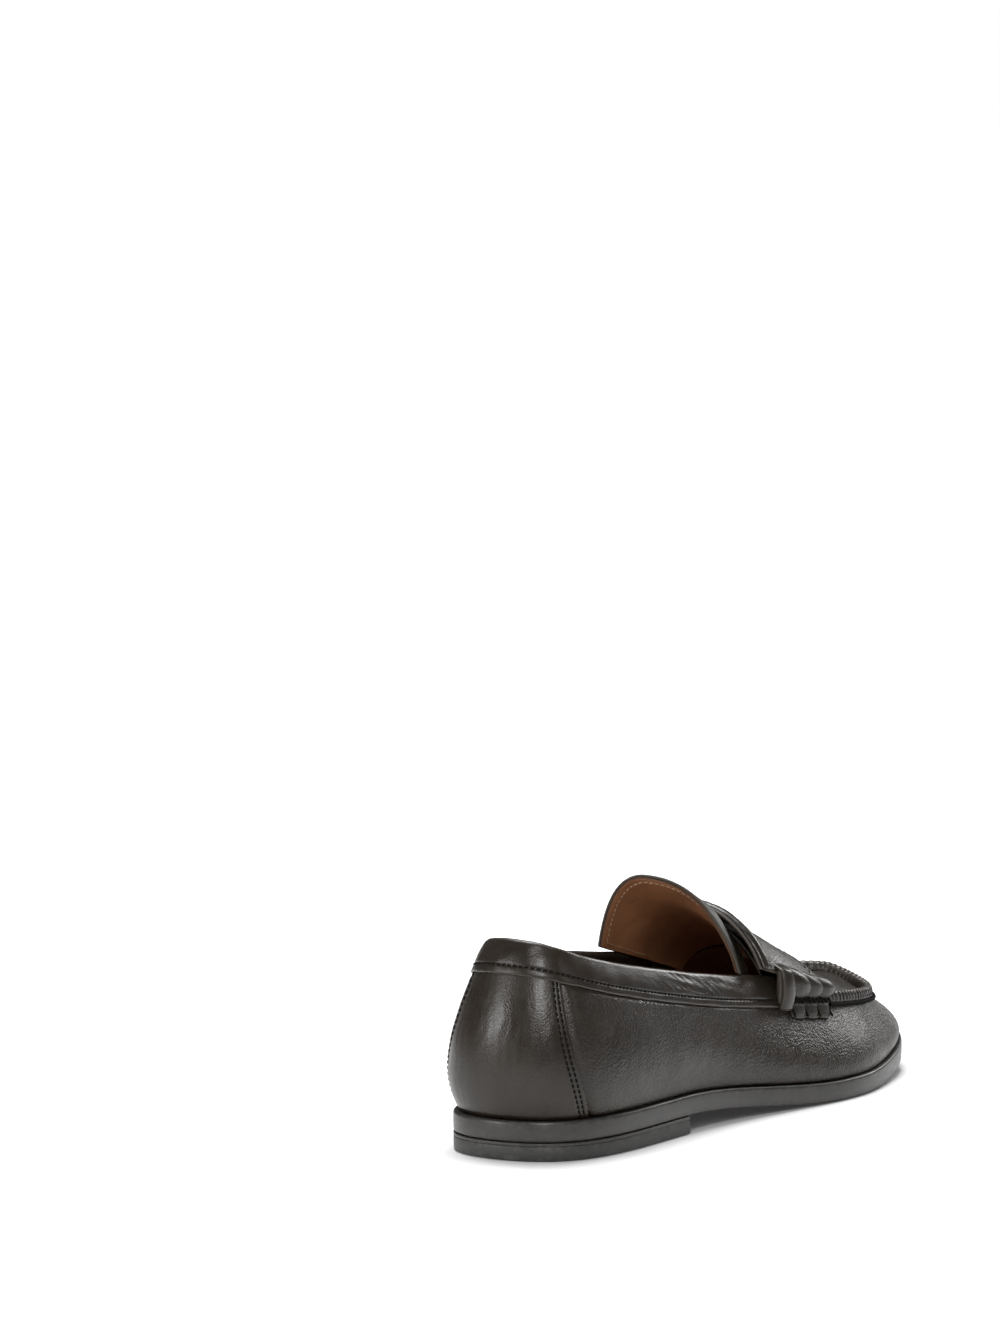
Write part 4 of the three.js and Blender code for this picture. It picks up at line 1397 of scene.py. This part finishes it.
@dataclass
class SaddleStrap:
    """The strap over the instep, with its slot and its rolled rear edge."""

    bench: Bench
    front: float = 3.68
    rear: float = 4.85
    lift: float = 1.2
    thickness: float = 1.6
    slot_arch: float = 4.15
    slot_share: float = 0.34
    slot_width: float = 0.085
    roll_width: float = 0.12
    roll_radius: float = 2.3
    roll_lift: float = 0.65
    fore_rows: int = 30
    aft_rows: int = 34

    @property
    def stitch_rows(self) -> tuple[float, float]:
        """Arch numbers of the rows along the roll and along the front edge."""
        return self.rear - self.roll_width - 0.045, self.front + 0.085

    def reach(self, arch: Array) -> Array:
        """How far the strap reaches down each side at an arch, as a share."""
        return 0.985 - 0.075 * smooth(arch, 4.35, 4.5)

    def sheet(self, arch: Array, across: Array, lift: Array | float) -> Array:
        """Points of the strap's faces."""
        return FORM.instep(arch, self.reach(arch) * across, lift)

    def relief(self, arch: Array, across: Array) -> Array:
        """Padding, soft waves and the pressed line by the roll, in mm."""
        along = (arch - self.front) / (self.rear - self.front)
        bulge = 0.25 * np.sin(math.pi * np.clip(along, 0, 1))
        rear_row, front_row = self.stitch_rows
        pressed = 0.35 * np.exp(-((arch - rear_row) ** 2) / 0.0006)
        front = 0.22 * np.exp(-((arch - front_row) ** 2) / 0.0005)
        return bulge + 0.12 * ripple(arch * 4, across * 4, 51) - pressed - front

    def leather(self) -> None:
        """The strap's own leather, cut open at the slot."""
        columns = crowded(161)
        eye = np.sqrt(np.clip(1 - (columns / self.slot_share) ** 2, 0, 1))
        eye = self.slot_width / 2 * eye * 1.15
        halves = []
        for start, end, way, count in (
            (self.front, self.slot_arch, -1, self.fore_rows),
            (self.slot_arch, self.rear, 1, self.aft_rows),
        ):
            line = np.linspace(start, end, count)
            near = 1 - np.abs(line - self.slot_arch) / (end - start)
            halves.append(line[:, None] + way * eye[None] * (near**3)[:, None])
        arch = np.concatenate(halves)
        across = np.broadcast_to(columns[None], arch.shape)
        inside = np.abs((columns[1:] + columns[:-1]) / 2) < self.slot_share
        hole = np.zeros((arch.shape[0] - 1, arch.shape[1] - 1), bool)
        hole[self.fore_rows - 1] = inside
        outer = self.sheet(arch, across, self.lift + self.thickness + self.relief(arch, across))
        inner = self.sheet(arch, across, self.lift)
        away = np.abs(arch - self.slot_arch) - eye[None]
        lips = np.exp(-(away**2) / 0.0008) * inside.mean()
        lips = np.where(np.abs(across) < self.slot_share + 0.02, lips, 0)
        # bright is a painted highlight: a lighter line just in front of the rear fold, where the
        # rolled edge catches the light. lips is wear round the slot.
        fold = self.rear - 0.13
        bright = smooth(arch, self.rear - 0.2, fold) * (1 - smooth(arch, fold, self.rear - 0.1))
        skin = shell(outer, inner, hole=hole, paint={"worn": 0.5 * lips + 0.5 * bright})
        self.bench.piece("saddle_strap_leather", skin, UPPER_COARSE, ["saddle_strap"])

    def build(self) -> None:
        """Makes the strap, its roll and its stitches."""
        self.leather()
        share = crowded(240)
        middle = np.full_like(share, self.rear - self.roll_width / 2)
        line = self.sheet(middle, share, self.lift + self.thickness * 0.72 + self.roll_lift)
        roll = tube(line, self.roll_radius + 0.1 * ripple(share * 14, share, 57), 16, 0.78)
        self.bench.piece("strap_rear_roll", roll, UPPER_SMOOTH)
        rows = []
        for row in self.stitch_rows:

            def on_strap(s: Array, row: float = row) -> Array:
                """The row's line over the strap."""
                arch = np.full_like(s, row)
                height = self.lift + self.thickness + self.relief(arch, s) + 0.05
                return self.sheet(arch, s, height)

            rows.append(Stitching(pitch=2.6, length=1.7, radius=0.34).row(on_strap, -0.97, 0.97))
        self.bench.piece("strap_stitches", gathered(rows), THREAD)


class Side(Enum):
    """Side of the shoe, with the node that its strap roll stands for."""

    OUTER = ("lateral", "strap_roll_lateral")
    INNER = ("medial", "strap_roll_medial")


@dataclass
class StrapRoll:
    """Pleated roll that binds one end of the strap to the rim."""

    bench: Bench
    side: Side
    rear: float = 5.0
    edges: tuple[float, ...] = (5.17, 5.4, 5.63, 5.86)
    leather: float = 1.1
    pleat_foot: float = 2.6
    pleat_height: tuple[float, float] = (12.6, 8.6)
    proud: float = 3.0
    band_drop: float = 1.6
    tab_drop: float = 5.2
    tab_pads: int = 3
    thread_turns: int = 18
    thread_radius: float = 0.42

    def place(self, u: Array, z: Array, bulge: Array) -> Array:
        """A point beside the rim.

        Args:
            u: Stations counted on the outer side.
            z: Height over the rim, in mm.
            bulge: How far it stands out from the rim, in mm.

        Returns:
            Points of the shape of the arguments together.
        """
        u, z, bulge = np.broadcast_arrays(*(np.asarray(v, float) for v in (u, z, bulge)))
        here = u if self.side is Side.OUTER else TOE + MEDIAL_STEP * (TOE - u)
        above, below = np.maximum(z, 0), np.maximum(-z, 0)
        rise = (FORM.rim(here) - FORM.feather(here))[..., 2]
        foot = FORM.wall(here, 1 - below / rise)
        out = FORM.outward(here)
        return foot + UP * above[..., None] + out * bulge[..., None]

    def height(self, u: Array) -> Array:
        """Height of the roll's top over the rim."""
        rear, front = self.pleat_height
        share = smooth(u, self.rear, self.edges[-1])
        return rear + (front - rear) * share + self.pleat_foot

    def band_skin(self) -> Skin:
        """The strap's end turned down over the rim as a narrow band."""
        s = np.linspace(0, 1, 16)[None]
        b = np.linspace(0, 1, 50)[:, None]
        u = self.rear + (self.edges[0] - 0.01 - self.rear) * s
        z = -self.band_drop + (self.height(u) + 1.0 + self.band_drop) * b
        full = np.sin(np.clip(b * 0.93 + 0.07, 0, 1) * math.pi) ** 0.5
        bulge = 0.4 + (self.proud + 0.9) * full + 0.7 * np.sin(s * math.pi) ** 0.6
        bulge = bulge - 2.4 * smooth(b, 0.86, 1)
        worn = 0.5 * smooth(s, 0.75, 1.0) + 0.35 * smooth(1 - s, 0.8, 1.0)
        inner = self.place(u, z, bulge - self.leather - 0.7)
        return shell(self.place(u, z, bulge), inner, paint={"worn": worn})

    def pleat_skin(self, k: int) -> Skin:
        """One crescent pleat whose front edge stands over the next."""
        start, end = self.edges[k] - 0.05, self.edges[k + 1]
        s = np.linspace(0, 1, 30)[None]
        b = np.linspace(0, 1, 44)[:, None]
        curve = np.sin(np.clip(b, 0.01, 0.99) * math.pi)
        u = start + s * (end - start) + (0.12 * curve - 0.075) * s**0.9
        z = self.pleat_foot - 1.2 * s * (1 - b) ** 2 + (self.height(u) - self.pleat_foot) * b
        crest = np.sin(np.clip(s, 0, 1) * math.pi * 0.72) ** 1.1
        bulge = 0.4 + self.proud * curve**0.55 + 1.9 * crest * curve**0.35 - 0.5
        worn = smooth(s, 0.6, 0.98) * curve**0.7
        inner = self.place(u, z, bulge - self.leather - 0.35)
        return shell(self.place(u, z, bulge), inner, paint={"worn": worn})

    def core_skin(self) -> Skin:
        """Folded leather under the pleats."""
        u = np.linspace(self.rear + 0.03, self.edges[-1] - 0.02, 60)[None]
        b = np.linspace(0, 1, 24)[:, None]
        z = -1.5 + (self.height(u) + 1.0) * b
        bulge = 0.2 + (self.proud - 0.9) * np.sin(b * math.pi) ** 0.6
        return shell(self.place(u, z, bulge), self.place(u, z, -self.band_drop))

    def tab_skin(self) -> Skin:
        """The stitched foot under the pleats, pressed into three pads."""
        start, end = self.edges[0] + 0.02, self.edges[-1] + 0.02
        u = np.linspace(start, end, 96)[None]
        b = np.linspace(0, 1, 16)[:, None]
        pad = np.abs(np.sin((u - start) / (end - start) * self.tab_pads * math.pi)) ** 0.35
        z = self.pleat_foot + 0.4 - (self.tab_drop + 2.2 + 0.9 * pad) * (1 - b)
        bulge = 0.75 + (0.9 * pad + 0.35) * np.sin(np.clip(b, 0.04, 0.9) * math.pi) ** 0.5 + 0.8 * b
        worn = 0.6 * (1 - smooth(b, 0.0, 0.25)) * pad
        inner = self.place(u, z, bulge - self.leather)
        return shell(self.place(u, z, bulge), inner, paint={"worn": worn})

    def threads(self) -> Skin:
        """Zig-zag binding thread over the tab, and the tab's own stitches."""
        start, end = self.edges[0] + 0.03, self.edges[-1] + 0.03
        turns, radius = self.thread_turns, self.thread_radius
        corner = np.arange(turns + 1)
        dense = np.linspace(0, turns, 150)
        u = np.interp(dense, corner, np.linspace(start, end, turns + 1))
        z = np.interp(dense, corner, np.where(corner % 2 == 0, 0.9, 3.4))
        threads = [tube(self.place(u, z, 2.75), radius, 7)]
        for k in range(self.tab_pads + 1):
            beside = start - 0.01 + (end - start) * k / self.tab_pads
            z = np.linspace(-self.tab_drop + 0.2, 1.4, 9)
            threads.append(tube(self.place(beside, z, 1.55), radius, 7))
        return gathered(threads)

    def build(self) -> None:
        """Makes the roll and its heavy thread."""
        name, node = self.side.value
        pleats = [self.pleat_skin(k) for k in range(len(self.edges) - 1)]
        self.bench.piece(f"roll_band_{name}", self.band_skin(), UPPER_SMOOTH)
        self.bench.piece(f"roll_pleats_{name}", gathered(pleats), UPPER_FINE)
        self.bench.piece(f"roll_core_{name}", self.core_skin(), UPPER_SMOOTH, [node])
        self.bench.piece(f"roll_tab_{name}", self.tab_skin(), UPPER_FINE)
        self.bench.piece(f"roll_thread_{name}", self.threads(), THREAD)


@dataclass
class Tongue:
    """The stiff tongue with its lining, which flexes on its root."""

    bench: Bench
    root: float = 4.72
    tip: float = 5.585
    skew: float = 0.227
    round: float = 0.263
    inset: tuple[float, float] = (6.5, 3.6)
    edge: float = 0.95
    leather: float = 1.2
    lining: float = 0.8
    lining_start: float = 3.95
    lining_gap: float = 0.05
    bend: tuple[float, float] = (-0.12, 0.22)  # two points on the lining, from the root, handed to the bench, which does not use them
    stitch_tip: float = 1 - 2.3 / 34  # how far up the tongue the stitch row runs
    stitch_side: float = 0.885
    flare: float = 3.5

    def clear(self, share: Array) -> Array:
        """Extra inset that keeps each edge off the collar, more on the outer side, in mm."""
        return 0.6 * smooth(share, 0.5, 0.9) + 1.3 * smooth(-share, 0.5, 0.9)

    def spread(self, arch: Array, share: Array) -> Array:
        """How far the free end stands off the instep on its outer side, in mm."""
        return self.flare * smooth(arch, 4.9, 5.2) * smooth(-share, -0.1, 0.6)

    def tip_arch(self, share: Array) -> Array:
        """Arch number of the free edge at a share across."""
        return self.tip + self.skew * share - self.round * share**2

    def inset_at(self, along: Array, share: Array) -> Array:
        """Inset from the rim at a share of the way up the tongue, in mm."""
        root, free = self.inset
        return root + (free - root) * smooth(along, 0.0, 0.8) + self.clear(share)

    def place(self, t: Array, a: Array, lift: Array | float) -> Array:
        """A point of the tongue: t from root to tip, a across from -1 to 1."""
        share = self.edge * np.sin(a * math.pi / 2)
        arch = self.root + (self.tip_arch(share) - self.root) * t
        lift = lift + self.spread(arch, share)
        return FORM.instep(arch, share, lift, self.inset_at(t, share))

    def leather_piece(self, a: Array) -> None:
        """The tongue's own leather, with its columns at a."""
        t = np.linspace(0, 1, 70)[:, None]
        wave = 0.16 * ripple(t * 4, a * 3, 61) * np.sin(t * math.pi)
        outer, inner = self.place(t, a, wave), self.place(t, a, wave - self.leather)
        skin = shell(outer, inner, paint={"worn": 0.45 * smooth(t, 0.93, 1)})
        self.bench.piece("tongue_leather", skin, UPPER_FINE, ["tongue"], body="tongue")

    def lining_piece(self, a: Array) -> None:
        """The lining, which runs on under the strap and bends at the root."""
        t = np.linspace(0, 1, 120)[:, None]
        share = self.edge * np.sin(a * math.pi / 2) + 0 * t
        tip, start, root = self.tip_arch(share), self.lining_start, self.root
        arch = start + (tip - start) * t
        tucked = smooth(-share, 0.2, 0.6) * (1 - smooth(arch, root - 0.08, root + 0.06))
        share = share * (1 - 0.17 * tucked)
        inset = self.inset_at(np.clip((arch - root) / (tip - root), 0, 1), share)
        under = self.leather + self.lining_gap
        sunk = under + 0.5 * (1 - smooth(arch, root - 0.25, root + 0.05))
        wave = 0.16 * ripple(t * 5, a * 3, 62) * np.sin(t * math.pi)
        face = wave + self.spread(arch, share) - sunk
        far = np.clip((5.6 - arch) / 1.2, 0, 1)
        shade = np.clip(0.5 * far**1.2 - 0.3 * a * (0.3 + far), 0, 1)
        outer, inner = (
            FORM.instep(arch, share, face - depth, inset) for depth in (0.0, self.lining)
        )
        skin = shell(outer, inner, paint={"shade": shade})
        ends = [self.bench.place(FORM.instep(root + step, 0.0, -under)) for step in self.bend]
        bends = ("shoe", "tongue", *ends)
        self.bench.piece("tongue_lining_leather", skin, LINING, ["tongue_lining"], bends=bends)

    def stitch_line(self, s: Array) -> Array:
        """A line inside the edge: up one side, round the tip and down the other, s 0 to 3."""
        t = np.clip(np.minimum(s, 3 - s), 0.12, 1) * self.stitch_tip
        a = np.clip((s - 1.5) * 2, -1, 1) * self.stitch_side
        corner = np.sin(np.clip(np.abs(s - 1.5) * 2, 0, 1) * math.pi / 2)
        return self.place(t - 0.02 * corner, a, -self.leather - self.lining - 0.22)

    def build(self) -> None:
        """Makes the leather, the lining and the stitch row inside the edge."""
        a = np.linspace(-1, 1, 111)[None]
        self.leather_piece(a)
        self.lining_piece(a)
        stitches = Stitching(pitch=2.2, length=1.5, radius=0.24).row(self.stitch_line, 0.14, 2.86)
        self.bench.piece("tongue_stitches", stitches, LINING_THREAD, body="tongue")


# ---- Hidden layers and studio ----


def dress_hidden_layers(bench: Bench) -> None:
    """Gives each layer inside the shoe its own finish."""
    fibre = Core("fibre_board", (0.22, 0.145, 0.075), (0.4, 0.29, 0.17), 0.9, 800.0, Slot.BOARD)
    steel = Core(
        "spring_steel", (0.35, 0.34, 0.33), (0.55, 0.54, 0.52), 0.36, 500.0, Slot.STEEL, metal=1.0
    )
    cork = Core("cork_filler", (0.17, 0.1, 0.045), (0.36, 0.24, 0.13), 0.92, 420.0, Slot.CORK)
    foam = Core("comfort_foam", (0.34, 0.27, 0.18), (0.46, 0.39, 0.29), 0.95, 1500.0, Slot.FOAM)
    layers = {
        fibre: [
            "insole_board", "heel_counter", "side_backer_lateral", "side_backer_medial", "toe_puff",
        ],
        steel: ["shank", *[f"heel_nail_{k}" for k in range(1, 6)]],
        cork: ["bottom_filler"],
        foam: ["comfort_foam"],
    }
    for finish, names in layers.items():
        for name in names:
            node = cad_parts[name]
            node.data.materials.clear()
            node.data.materials.append(bench.dressed(finish))
            LOG.info("%s: kept, dressed in %s", name, finish.name)


# Name, place and size in metres, and power in watts.
LIGHTS = (
    ("key", (-1.0, -0.55, 0.75), 0.32, 7.0),
    ("rear", (-1.3, 0.75, 0.45), 0.35, 6.0),
    ("side", (0.1, -1.5, 0.7), 0.3, 1.2),
    ("front", (1.45, -0.25, 0.7), 0.5, 7.0),
    ("top", (0.2, 0.25, 1.5), 0.9, 31.0),
)


@dataclass
class Studio:
    """Camera, pale floor and soft light."""

    bench: Bench
    azimuth: float = 59.978
    elevation: float = 8.881
    distance: float = 2.5
    aim: tuple[float, float, float] = (120.0, 0.0, 40.0)
    lens: float = 173.0
    shift: tuple[float, float] = (-0.1167, 0.258)
    floor_reach: float = 12.0
    floor_gap: float = 0.0004
    glow_reach: tuple[float, float] = (0.2, 1.1)  # where the floor's glow begins and is full
    fill: float = 0.1

    def camera(self) -> None:
        """Stands the camera behind the shoe's outer side, looking forward."""
        turn, tilt = math.radians(self.azimuth), math.radians(self.elevation)
        level = math.cos(tilt)
        look = Vector((math.sin(turn) * level, math.cos(turn) * level, -math.sin(tilt)))
        data = bpy.data.cameras.new("camera")
        data.lens, data.sensor_width = self.lens, 36.0
        data.shift_x, data.shift_y = self.shift
        data.clip_start, data.clip_end = 0.05, 60.0
        camera = bpy.data.objects.new("camera", data)
        bpy.context.scene.collection.objects.link(camera)
        camera.location = Vector(self.bench.place(np.array(self.aim))) - self.distance * look
        camera.rotation_euler = look.to_track_quat("-Z", "Y").to_euler()
        bpy.context.scene.camera = camera

    def floor(self) -> None:
        """A wide pale floor that the shoe stands on."""
        mesh = bpy.data.meshes.new("floor")
        ways = ((-1, -1), (1, -1), (1, 1), (-1, 1))
        reach, z = self.floor_reach, -self.floor_gap
        mesh.from_pydata([(x * reach, y * reach, z) for x, y in ways], [], [(0, 1, 2, 3)])
        recipe = Recipe("floor_white")
        ball = recipe.tree.nodes.new("ShaderNodeVectorMath")
        ball.operation = "LENGTH"
        recipe.put(ball.inputs[0], recipe.place)
        glow = recipe.ranged(ball.outputs["Value"], *self.glow_reach, (0.03, 1.05))
        path = recipe.tree.nodes.new("ShaderNodeLightPath")
        seen = recipe.ranged(path.outputs["Is Camera Ray"], 0.0, 1.0, (0.3, 1.0))
        glow = recipe.math("MULTIPLY", glow, seen)
        recipe.set(
            Base_Color=(0.85, 0.85, 0.85, 1),
            Roughness=0.9,
            Emission_Color=(1, 1, 1, 1),
            Emission_Strength=glow,
        )
        mesh.materials.append(recipe.material)
        floor = bpy.data.objects.new("floor", mesh)
        bpy.context.scene.collection.objects.link(floor)

    def light(self, name: str, place: Sequence[float], size: float, power: float) -> None:
        """One soft square light that faces the shoe."""
        data = bpy.data.lights.new(name, "AREA")
        data.shape, data.size, data.energy = "SQUARE", size, power
        lamp = bpy.data.objects.new(name, data)
        bpy.context.scene.collection.objects.link(lamp)
        lamp.location = place
        aim = Vector((0, 0, 0.04)) - Vector(place)
        lamp.rotation_euler = aim.to_track_quat("-Z", "Y").to_euler()

    def surroundings(self) -> None:
        """A bright plain backdrop all round."""
        world = bpy.data.worlds.new("studio")
        world.use_nodes = True
        tree = world.node_tree
        seen, lit = tree.nodes["Background"], tree.nodes.new("ShaderNodeBackground")
        seen.inputs["Color"].default_value = (1, 1, 1, 1)
        seen.inputs["Strength"].default_value = 1.0
        lit.inputs["Color"].default_value = (1, 1, 1, 1)
        lit.inputs["Strength"].default_value = self.fill
        path, mix = tree.nodes.new("ShaderNodeLightPath"), tree.nodes.new("ShaderNodeMixShader")
        tree.links.new(path.outputs["Is Camera Ray"], mix.inputs[0])
        tree.links.new(lit.outputs[0], mix.inputs[1])
        tree.links.new(seen.outputs[0], mix.inputs[2])
        tree.links.new(mix.outputs[0], tree.nodes["World Output"].inputs["Surface"])
        bpy.context.scene.world = world
        bpy.context.scene.view_settings.view_transform = "Standard"

    def build(self) -> None:
        """Sets up the whole studio."""
        self.camera()
        self.floor()
        self.surroundings()
        for light in LIGHTS:
            self.light(*light)


def main() -> None:
    """Builds the shoe from the ground up, dresses it and lights it."""
    logging.basicConfig(level=logging.INFO, format="%(message)s")
    bench = Bench.beside_frame()
    Studio(bench).build()
    Bottom(bench).build()
    upper = Upper(bench)
    upper.build()
    Collar(bench, upper).build()
    Apron(bench).build()
    SaddleStrap(bench).build()
    for side in Side:
        StrapRoll(bench, side).build()
    Tongue(bench).build()
    dress_hidden_layers(bench)


if __name__ == "__main__":
    main()
